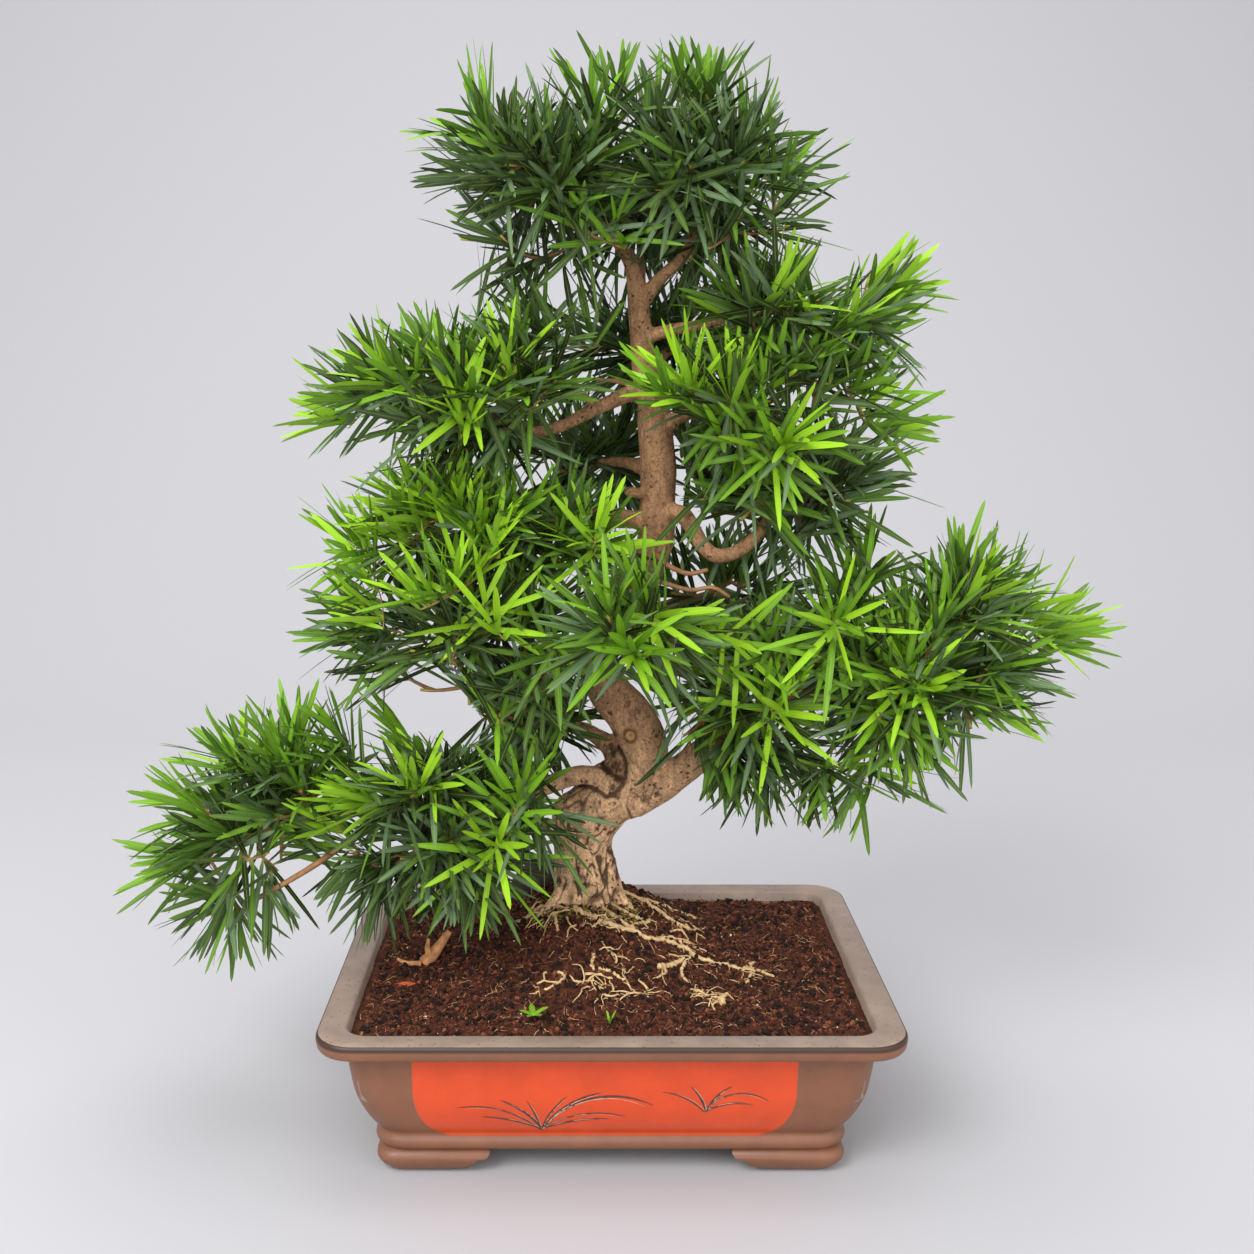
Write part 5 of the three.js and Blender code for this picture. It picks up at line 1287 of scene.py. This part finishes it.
class Mass:
    """One mass of foliage: its core, and the space and limbs round it"""

    def __init__(self, name, samples, sizes):
        self.limb, self.shoots, seed, centre, core, furthest, self.fresh = MASSES[name]
        self.shown = TUFTS.get(name, [])
        self.random = seeded_random(seed)
        self.centre = np.array(centre, float)
        self.core = np.array(core, float)
        self.furthest = furthest
        self.others = []
        self.samples = samples
        self.sizes = sizes

    def distance_out(self, points):
        """How far points lie outside the core, measured towards its centre"""
        offset = points - self.centre
        away = np.maximum(np.linalg.norm(offset, axis=1), 1e-6)
        return away - away / np.maximum(np.linalg.norm(offset / self.core, axis=1), 1e-6)

    def clear_of_limbs(self, points):
        places, widths = self.samples
        away = np.linalg.norm(points[:, None, :] - places[None], axis=2)
        return np.all(away > widths[None] + LIMB_MARGIN, axis=1)

    def allowed(self, points, overlap):
        """Which points lie in the mass's own space, in the crown, over the pot and clear of limbs"""
        own = self.distance_out(points)
        good = own < LEAF_REACH + overlap * 0.3
        for other in self.others:
            good &= other.distance_out(points) > own - overlap
        x, y, z = points.T
        over_pot = (np.abs(x) < OVER_POT[0]) & (np.abs(y) < OVER_POT[1])
        floor = np.where(over_pot, np.maximum(POT_TOP, mound(x, y)) + CLEAR_ABOVE, LOWEST_LEAF)
        good &= (z > floor) & (z < PLANT_TOP)
        good &= (np.abs(x) < PLANT_HALF[0]) & (np.abs(y) < PLANT_HALF[1])
        return good & self.clear_of_limbs(points)


def limb_samples():
    """Points along every limb with the limb's radius there"""
    trunk = smooth_line(TRUNK_LINE, 80)
    points = [trunk]
    widths = [trunk_radii(trunk)]
    for ends, line in LIMBS.values():
        count = max(4, int(distances_along(line)[-1] / 5))
        points.append(smooth_line(line, count))
        widths.append(tapered(ends, count))
    return np.vstack(points), np.concatenate(widths)


def seen_in(points, windows):
    """Which points the camera sees in any of some windows on the plane through the pot's axis"""
    eye = np.array(CAMERA_PLACE) / MM
    share = -eye[1] / (points[:, 1] - eye[1])
    seen = eye + (points - eye) * share[:, None]
    middle_x, middle_z, half_x, half_z = np.array(windows, float).T
    x = (seen[:, None, 0] - middle_x) / half_x
    z = (seen[:, None, 2] - middle_z) / half_z
    return np.any(x * x + z * z < 1, axis=1)


def in_window(points):
    """Which points lie in a gap of the crown or hide wood that is to be seen"""
    hides = seen_in(points, CLEAR_VIEWS) & (points[:, 1] < CLEAR_IN_FRONT)
    return seen_in(points, WINDOWS) | hides


def shoot_ends(mass, count, shallowest):
    """Shoot ends spread evenly over the core, turn by turn, some of them deeper in"""
    start = mass.random() * math.pi * 2
    ends = []
    for i in range(count):
        height = 1 - 2 * (i + 0.5) / count
        around = math.sqrt(1 - height * height)
        angle = start + i * GOLDEN_ANGLE
        outward = np.array([around * math.cos(angle), around * math.sin(angle), height])
        depth = shallowest + (1 - shallowest) * mass.random()
        heading = unit(unit(outward / mass.core) + (0, 0, UPWARD))
        ends.append((outward * mass.core * depth + mass.centre, heading))
    return ends


def twig_to(mass, point, joints, overlap):
    """A twig from the nearest free joint to a shoot's end, which draws in until its way is clear"""
    for _ in range(SHOOT_TRIES):
        away = [np.linalg.norm(joint[0] - point) for joint in joints]
        near = [i for i in np.argsort(away, kind="stable") if away[i] > SHORTEST_TWIG][:NEAREST_JOINTS]
        for i in near:
            places = np.array([joints[i][0] * (1 - share) + point * share for share in TWIG_SHARES])
            if mass.allowed(places, overlap).all():
                return joints[i], point
        point = point * (1 - DRAW_IN) + mass.centre * DRAW_IN
    return None, point


def tuft_plans(mass, foot):
    """End, direction, spread, freshness and rank of each tuft, nearest first: those that the photograph
    shows, then the rule's main ones and fine ones"""
    shown = [(np.array(place, float), unit(np.array(way, float)), spread, fresh, 0)
             for *place, way, spread, fresh in mass.shown]
    main = [(point, way, MAIN_SPREAD, None, 1) for point, way in shoot_ends(mass, mass.shoots, MAIN_DEPTH)]
    if mass.furthest:
        outward = unit(mass.furthest - mass.centre)
        end = mass.furthest - outward * mass.sizes.leaf_length / MM * 0.8
        main.insert(0, (end, outward, TIP_SPREAD, TIP_FRESH, 0))
    count = mass.shoots * mass.sizes.shoots
    fine = [(point, way, FINE_SPREAD, None, 2) for point, way in shoot_ends(mass, count, FINE_DEPTH)]
    return [plan for group in (shown, main, fine)
            for plan in sorted(group, key=lambda entry: np.linalg.norm(entry[0] - foot))]


def grow_mass(mass):
    """Wood and tufts of a mass: a stem from its limb's tip, and a twig to each tuft that has room"""
    radii, line = LIMBS[mass.limb]
    limb = smooth_line(line, 60)
    heading = unit(limb[-1] - limb[-2])
    foot = limb[-1] - heading * 1.5
    bend = limb[-1] + heading * np.linalg.norm(limb[-1] - mass.centre) * 0.5
    stem = arc(foot, bend, mass.centre, STEM_POINTS)
    twig_radius = mass.sizes.twig_radius / MM
    wood = [(stem, tapered((radii[1] * 0.98, twig_radius), STEM_POINTS))]
    joints = [(stem[int(share * (STEM_POINTS - 1))], twig_radius * 1.25) for share in STEM_JOINTS]
    tufts = []
    for point, way, spread, fresh, rank in tuft_plans(mass, foot):
        if rank and any(np.linalg.norm(point - tuft[0][-1]) < TUFT_SPACING for tuft in tufts):
            continue
        joint, end = twig_to(mass, point, joints, RULE_OVERLAP if rank else SHOWN_OVERLAP)
        if joint is None:
            continue
        start, thickest = joint
        radius = min(twig_radius * TWIG_WIDTHS[rank], thickest)
        reach = np.linalg.norm(end - start)
        side = np.array([mass.random() - 0.5, mass.random() - 0.5, mass.random() - 0.7]) * reach * 0.3
        twig = arc(start, (start + end) / 2 + side - way * min(reach * 0.12, 9.0), end, TWIG_POINTS)
        wood.append((twig, tapered((radius, radius * 0.6), TWIG_POINTS)))
        joints += [(twig[int(share * (TWIG_POINTS - 1))], radius * 0.85) for share in TWIG_JOINTS]
        tufts.append((twig, way, spread, fresh, rank))
    return wood, tufts


def leaf_points(roots, headings, ups, lengths, widths, bends, fold):
    """Points of many leaves: three across at each station, and one at the tip"""
    sides = unit(np.cross(headings, ups))
    ups = unit(np.cross(sides, headings))
    points = np.empty((len(roots), LEAF_POINTS, 3))
    for k, (share, profile) in enumerate(zip(LEAF_STATIONS, LEAF_PROFILE)):
        centre = roots + (headings * share + bends * share ** 2) * lengths[:, None]
        half = (widths * profile / 2)[:, None]
        points[:, k * 3] = centre - sides * half + ups * half * fold
        points[:, k * 3 + 1] = centre
        points[:, k * 3 + 2] = centre + sides * half + ups * half * fold
    points[:, -1] = roots + (headings + bends) * lengths[:, None]
    return points


def leaves_on(mass, tuft, rng):
    """Leaves of one tuft, youngest at its end, each a golden angle round from the last"""
    twig, way, spread, fresh, rank = tuft
    sizes = mass.sizes
    count = max(LEAST_LEAVES, int(sizes.leaves * rng.uniform(0.8, 1.1) * (1.0 if rank < 2 else 0.85)))
    order = (np.arange(count) + 0.5) / count
    along = distances_along(twig)
    seats = points_at(twig, along, along[-1] - np.minimum(along[-1] * 0.85, 3 + 26 * order ** 1.3))
    seats[0] = twig[-1]
    first, second = across_from(way)
    turn = rng.uniform(0, 2 * math.pi) + np.arange(count) * GOLDEN_ANGLE + rng.normal(0, 0.15, count)
    lean = np.radians(10 + spread * order ** 0.6 + rng.normal(0, 8, count))[:, None]
    around = np.cos(turn)[:, None] * first + np.sin(turn)[:, None] * second
    headings = unit(way * np.cos(lean) + around * np.sin(lean) + (0, 0, 0.1))
    ups = unit(way * np.sin(lean) - around * np.cos(lean))
    roll = rng.normal(0, 0.45, count)[:, None]
    ups = unit(ups * np.cos(roll) + np.cross(headings, ups) * np.sin(roll))
    grown = 0.62 + 0.38 * np.minimum(order * 3, 1)
    lengths = sizes.leaf_length / MM * grown * rng.uniform(0.8, 1.05, count)
    widths = sizes.leaf_width / MM * rng.uniform(0.82, 1.1, count) * (1.12 if (fresh or 0) > 0.6 else 1.0)
    bends = -ups * rng.uniform(-0.06, 0.14, count)[:, None]
    bends[:, 2] -= rng.uniform(0.0, 0.12, count) * (0.4 + order)
    # A leaf that has no room is drawn in, and left out if it still has none
    for _ in range(2):
        tips = seats + (headings + bends) * lengths[:, None]
        middles = seats + (headings + bends * 0.5) * lengths[:, None] * 0.5
        good = mass.allowed(tips, LEAF_OVERLAP if rank else SHOWN_OVERLAP) & mass.clear_of_limbs(middles)
        lengths = np.where(good, lengths, lengths * 0.8)
    good &= ~in_window(tips) & ~in_window(middles)
    points = leaf_points(seats, headings, ups, lengths, widths, bends, rng.uniform(0.1, 0.3))
    return points[good], order[good]


def leaf_blades(name, leaves):
    """One mesh of many leaves, with each point's share along and across its leaf and the leaf's own chance"""
    count = len(leaves)
    faces = [[index + LEAF_POINTS * i for index in face] for i in range(count) for face in LEAF_FACES]
    obj = mesh_object(name, leaves.reshape(-1, 3), faces)
    blade = np.empty((count, LEAF_POINTS, 3))
    blade[:, :, 0] = [*np.repeat(LEAF_STATIONS, 3), 1]
    blade[:, :, 1] = [*[-1, 0, 1] * len(LEAF_STATIONS), 0]
    blade[:, :, 2] = np.random.default_rng(len(name)).uniform(0, 1, count)[:, None]
    note(obj.data, "blade", blade)
    return obj


def tint_of(fresh, order, rng):
    """A leaf's tint: fresh growth is lime, older leaves are dark green, blue-green, or a darker green that is
    painted shade
    """
    level = fresh - 0.3 * order ** 1.8 + rng.normal(0, 0.05)
    for name, lowest in (("leaves_lime", 0.72), ("leaves_fresh", 0.5), ("leaves_green", 0.33)):
        if level > lowest:
            return name
    return rng.choice(["leaves_deep", "leaves_shade", "leaves_blue"], p=[0.44, 0.28, 0.28])


def grow_foliage(sizes):
    """All masses' wood and leaves, the leaves dealt to tints by the tuft that they are in"""
    samples = limb_samples()
    masses = [Mass(name, samples, sizes) for name in MASSES]
    rng = np.random.default_rng(20)
    wood = {"twigs": [(smooth_line(line, 16), tapered(radii, 16)) for radii, line in SHOWN_TWIGS],
            "green_shoots": []}
    tints = {name: [] for name in LEAF_TINTS}
    for mass in masses:
        mass.others = [other for other in masses if other is not mass]
        twigs, tufts = grow_mass(mass)
        wood["twigs"].append(twigs[0])
        for (points, radii), tuft in zip(twigs[1:], tufts):
            wood["twigs"].append((points[:7], radii[:7]))
            wood["green_shoots"].append((points[5:], radii[5:] * 1.06))
            leaves, order = leaves_on(mass, tuft, rng)
            fresh = tuft[3]
            if fresh is None:
                height = (points[-1][2] - mass.centre[2]) / (mass.core[2] + 10)
                behind = points[-1][1] > mass.centre[1]
                fresh = 0.22 + 0.14 * height + 0.4 * mass.fresh * (0.5 + behind) + rng.normal(0, 0.12)
            for leaf, share in zip(leaves, order):
                tints[tint_of(fresh, share, rng)].append(leaf)
    return wood, tints


# Loose roots, and small things on the soil


def root(radii, plan, random):
    """A surface root half sunk in the soil along points of the plan, wavering and knobbly"""
    count = len(plan) * ROOT_STEPS
    line = smooth_plan(plan, count)
    width = tapered(radii, count, 1.0)
    for k, point in enumerate(line):
        point[0] += 1.6 * noise.noise(Vector((k / 4, radii[0] * 3, random())))
        point[1] += 1.6 * noise.noise(Vector((radii[0] * 3, k / 4, random())))
        point[2] = soil_height(point[0], point[1]) + width[k] * 0.55
    return tube(line, width * (1 + 0.16 * np.sin(np.arange(count) * 1.9)), ROOT_SIDES)


def rootlet(radii, plan, random):
    """A thin side root that leaves a root at a chance place and wanders off"""
    line = smooth_plan(plan, 30)
    k = int(4 + 25 * random())
    x, y = line[k][:2]
    heading = math.atan2(*(line[k] - line[k - 1])[1::-1])
    heading += (1 if random() < 0.5 else -1) * (0.4 + 0.9 * random())
    step = (8 + 20 * random()) / (ROOTLET_POINTS - 1)
    radius = radii[1] * (0.3 + 0.35 * random())
    points = []
    for _ in range(ROOTLET_POINTS):
        points.append((x, y, soil_height(x, y) + radius * 0.7))
        x += step * math.cos(heading)
        y += step * math.sin(heading)
        heading += (random() - 0.5) * 0.8
    return tube(points, tapered((radius, radius * 0.4), ROOTLET_POINTS), THIN_SIDES)


def loose_roots():
    """Short loose roots that lie over one another, bent at random"""
    random = seeded_random(TANGLE_SEED)
    tubes = [root(radii, plan, random) for radii, plan in LOOSE_ROOTS]
    for (x, y), spread, count in TANGLES:
        for _ in range(count):
            start = (x + spread * (random() - 0.5) * 2, y + spread * (random() - 0.5) * 1.4)
            heading = 2 * math.pi * random()
            reach = 6 + 13 * random()
            radius = 0.35 + 0.6 * random() ** 2
            lift = 0.4 + 2.2 * random()
            points = []
            for share in np.linspace(0, 1, LOOSE_POINTS):
                points.append((*start, soil_height(*start) + radius + lift * math.sin(math.pi * share)))
                step = reach / (LOOSE_POINTS - 1)
                start = (start[0] + step * math.cos(heading), start[1] + step * math.sin(heading))
                heading += (random() - 0.5) * 1.1
            tubes.append(tube(points, tapered((radius, radius * 0.5), LOOSE_POINTS), THIN_SIDES))
    return tubes


def seedling(place, height, count, lean, reach, width):
    """Leaves of one seedling, all from one point above the soil"""
    foot = np.array([*place, soil_height(*place) + height * 0.5])
    turns = np.arange(count) * 2 * math.pi / count + 0.5
    around = np.column_stack([np.cos(turns), np.sin(turns), np.zeros(count)])
    tilt = math.radians(lean)
    headings = around * math.sin(tilt) + (0, 0, math.cos(tilt))
    ups = (0, 0, math.sin(tilt)) - around * math.cos(tilt)
    lengths = np.linspace(reach, reach * 0.7, count)
    widths = np.full(count, width)
    return leaf_points(np.tile(foot, (count, 1)), headings, ups, lengths, widths, -ups * 0.1, 0.2)


# Operators


class BonsaiPiece:
    """What the piece operators share"""
    bl_options = {"REGISTER", "UNDO"}

    @property
    def sizes(self):
        return bpy.context.scene.bonsai_sizes

    @property
    def colours(self):
        return bpy.context.scene.bonsai_colours


class BONSAI_OT_pot(BonsaiPiece, Operator):
    """Model the pot's body, its bracket feet and the painted grass on its panel"""
    bl_idname = "bonsai.pot"
    bl_label = "Pot"

    def execute(self, context):
        stoneware = glazed_stoneware(self.colours)
        body = make_pot_body()
        soften_edges(body, *BODY_ROUNDING)
        dust_rim(body)
        finish_piece(body, "pot_body", stoneware, ["pot"])
        feet = make_feet()
        soften_edges(feet, *FEET_ROUNDING)
        finish_piece(feet, "pot_feet", stoneware, ["pot"])
        for name, shade, *measures in STROKES:
            slip = plain_matter(name, linear(shade), 3.333, 0.35, 0.5, 0.1)
            finish_piece(make_grass(name, *measures), name, slip)
        return {"FINISHED"}


class BONSAI_OT_soil(BonsaiPiece, Operator):
    """Model the soil's surface, its crumbs and moss, and the fibres in it"""
    bl_idname = "bonsai.soil"
    bl_label = "Soil"

    def execute(self, context):
        finish_piece(make_soil(), "soil_surface", potting_soil(self.colours), ["soil"])
        for name, shade, share, seed, smallest, largest, ground, grain, contrast in CRUMBS:
            crumbs = scatter_crumbs(name, seed, int(self.sizes.crumbs * share), smallest, largest, ground)
            finish_piece(crumbs, name, plain_matter(name, linear(shade), grain, contrast, 0.95, 0.4))
        for name, shade, share, seed, longest, radius in FIBRES:
            fibres = scatter_fibres(name, seed, int(self.sizes.fibres * share), longest, radius)
            finish_piece(fibres, name, plain_matter(name, linear(shade), 3.333, 0.3, 0.9, 0.2))
        return {"FINISHED"}


class BONSAI_OT_bark(BonsaiPiece, Operator):
    """Model the trunk and boughs as one skin with the bark's relief"""
    bl_idname = "bonsai.bark"
    bl_label = "Trunk and boughs"

    def execute(self, context):
        finish_piece(make_bark(self.sizes), "bark", podocarpus_bark(self.colours), ["trunk", *LIMBS])
        return {"FINISHED"}


class BONSAI_OT_foliage(BonsaiPiece, Operator):
    """Grow twigs and leaves on from the limbs"""
    bl_idname = "bonsai.foliage"
    bl_label = "Foliage"

    def execute(self, context):
        wood, tints = grow_foliage(self.sizes)
        nodes = list(MASSES)
        for name, shade, sides in (("twigs", 0xA27650, 6), ("green_shoots", 0xAE9A46, 5)):
            tubes = joined_object(name, [tube(points, radii, sides) for points, radii in wood[name]])
            stuff = plain_matter(name, linear(shade), 4.545, 0.25, 0.7, 0.2)
            finish_piece(tubes, name, stuff, nodes)
        for name, shade in LEAF_TINTS.items():
            blades = leaf_blades(name, np.array(tints[name]))
            finish_piece(blades, name, leaf_blade(name, linear(shade)), nodes)
        return {"FINISHED"}


class BONSAI_OT_roots(BonsaiPiece, Operator):
    """Lay the pale surface roots on the soil"""
    bl_idname = "bonsai.roots"
    bl_label = "Surface roots"

    def execute(self, context):
        stuff = plain_matter("dry_root", self.colours.root, 3.846, 0.3, 0.85, 0.4)
        for number, (node, routes) in enumerate(ROOTS.items()):
            random = seeded_random(ROOT_SEED + number)
            tubes = []
            for radii, plan in routes:
                tubes.append(root(radii, plan, random))
                tubes += [rootlet(radii, plan, random) for _ in range(ROOTLETS)]
            name = node + "_relief"
            finish_piece(joined_object(name, tubes), name, stuff, [node])
        finish_piece(joined_object("loose_roots", loose_roots()), "loose_roots", stuff)
        return {"FINISHED"}


class BONSAI_OT_stone(BonsaiPiece, Operator):
    """Set the dark pebble beside the trunk"""
    bl_idname = "bonsai.stone"
    bl_label = "Stone"

    def execute(self, context):
        start_fresh()
        bpy.ops.mesh.primitive_ico_sphere_add(subdivisions=5, radius=1)
        stone = bpy.context.object
        for vertex in stone.data.vertices:
            direction = vertex.co.normalized()
            size = 1 + 0.1 * noise.noise(direction * 1.3) + 0.03 * noise.noise(direction * 4)
            for axis, (middle, half) in enumerate(zip(*STONE)):
                vertex.co[axis] = (middle + direction[axis] * size * half) * MM
        bpy.ops.object.shade_smooth()
        stuff = plain_matter("river_pebble", self.colours.stone, 11.11, 0.3, 0.62, 0.3)
        finish_piece(stone, "pebble", stuff, ["stone"])
        return {"FINISHED"}


class BONSAI_OT_small_things(BonsaiPiece, Operator):
    """Add the seedlings, the shard of bark and the chip of fired clay that lie on the soil"""
    bl_idname = "bonsai.small_things"
    bl_label = "Small things on the soil"

    def execute(self, context):
        tubes = [tube(smooth_line(line, 12), tapered(radii, 12, 1.0), 7) for radii, line in SHARD]
        split_wood = plain_matter("split_wood", linear(0xC48A5C), 3.846, 0.35, 0.8, 0.5)
        finish_piece(joined_object("bark_shard", tubes), "bark_shard", split_wood)
        (x, y), size = CHIP
        points = CRUMB_POINTS * size * CHIP_SHAPE + (x, y, soil_height(x, y) + 1)
        fired_clay = plain_matter("fired_clay", linear(0xB8552E), 3.333, 0.2, 0.8, 0.3)
        chip = mesh_object("clay_chip", points, crumb_faces(), smooth=False)
        finish_piece(chip, "clay_chip", fired_clay)
        blades = leaf_blades("seedlings", np.vstack([seedling(*entry) for entry in SEEDLINGS]))
        green = leaf_blade("seedlings", linear(LEAF_TINTS["leaves_fresh"]))
        finish_piece(blades, "seedlings", green)
        return {"FINISHED"}


class BONSAI_OT_stage(BonsaiPiece, Operator):
    """Set the pale floor, the soft lights and the camera"""
    bl_idname = "bonsai.stage"
    bl_label = "Stage"

    def execute(self, context):
        self.floor()
        self.lights(context.scene)
        self.camera(context.scene)
        return {"FINISHED"}

    def floor(self):
        """A floor that sweeps up into a wall behind the plant"""
        start_fresh()
        bpy.ops.mesh.primitive_plane_add(size=2)
        floor = bpy.context.object
        bpy.ops.object.mode_set(mode="EDIT")
        bpy.ops.transform.resize(value=(*FLOOR_HALF, 1))
        bpy.ops.transform.translate(value=(0, FLOOR_MIDDLE, 0))
        bpy.ops.mesh.select_mode(type="EDGE")
        bpy.ops.mesh.select_all(action="DESELECT")
        outline = bmesh.from_edit_mesh(floor.data)
        for edge in outline.edges:
            if all(vertex.co.y > FLOOR_MIDDLE for vertex in edge.verts):
                edge.select_set(True)
        bmesh.update_edit_mesh(floor.data)
        piece = SWEEP_RADIUS * math.pi / 2 / SWEEP_STEPS
        for step in range(SWEEP_STEPS):
            angle = math.radians((step + 0.5) * 90 / SWEEP_STEPS)
            extrude_by(0, piece * math.cos(angle), piece * math.sin(angle))
        extrude_by(0, 0, WALL_HEIGHT)
        bpy.ops.object.mode_set(mode="OBJECT")
        bpy.ops.object.shade_smooth()
        floor.name = "studio_sweep"
        paper = new_material("studio_paper", {"Base Color": linear(PAPER), "Roughness": 0.9})[0]
        floor.data.materials.append(paper)

    def lights(self, scene):
        for name, place, size, power, aim in LAMPS:
            data = bpy.data.lights.new(name, "AREA")
            data.size = size
            data.energy = power
            lamp = bpy.data.objects.new(name, data)
            lamp.location = place
            lamp.rotation_euler = (Vector(aim) - Vector(place)).to_track_quat("-Z", "Y").to_euler()
            scene.collection.objects.link(lamp)
        scene.world = bpy.data.worlds.new("studio_air")
        scene.world.use_nodes = True
        scene.world.node_tree.nodes["Background"].inputs["Color"].default_value = linear(AIR)

    def camera(self, scene):
        data = bpy.data.cameras.new("camera")
        data.lens = CAMERA_LENS
        data.shift_x = CAMERA_SHIFT
        scene.camera = bpy.data.objects.new("camera", data)
        scene.camera.location = CAMERA_PLACE
        scene.camera.rotation_euler = (math.radians(90 - CAMERA_PITCH), 0, 0)
        scene.collection.objects.link(scene.camera)
        scene.view_settings.view_transform = "Standard"


class BONSAI_PT_panel(Panel):
    """Sizes, colours and pieces of the bonsai"""
    bl_idname = "BONSAI_PT_panel"
    bl_label = "Bonsai"
    bl_space_type = "VIEW_3D"
    bl_region_type = "UI"
    bl_category = "Bonsai"

    def draw(self, context):
        for group in (context.scene.bonsai_sizes, context.scene.bonsai_colours):
            column = self.layout.column()
            for name in group.__annotations__:
                column.prop(group, name)
        for operator in OPERATORS:
            self.layout.operator(operator.bl_idname)


OPERATORS = (BONSAI_OT_stage, BONSAI_OT_pot, BONSAI_OT_soil, BONSAI_OT_stone, BONSAI_OT_roots,
             BONSAI_OT_small_things, BONSAI_OT_bark, BONSAI_OT_foliage)
CLASSES = (BonsaiSizes, BonsaiColours, *OPERATORS, BONSAI_PT_panel)


def register():
    for entry in CLASSES:
        bpy.utils.register_class(entry)
    bpy.types.Scene.bonsai_sizes = PointerProperty(type=BonsaiSizes)
    bpy.types.Scene.bonsai_colours = PointerProperty(type=BonsaiColours)


def unregister():
    del bpy.types.Scene.bonsai_colours
    del bpy.types.Scene.bonsai_sizes
    for entry in reversed(CLASSES):
        bpy.utils.unregister_class(entry)


def main():
    register()
    bpy.ops.bonsai.stage()
    bpy.ops.bonsai.pot()
    bpy.ops.bonsai.soil()
    bpy.ops.bonsai.stone()
    bpy.ops.bonsai.roots()
    bpy.ops.bonsai.small_things()
    bpy.ops.bonsai.bark()
    bpy.ops.bonsai.foliage()
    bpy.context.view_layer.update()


if __name__ == "__main__":
    main()
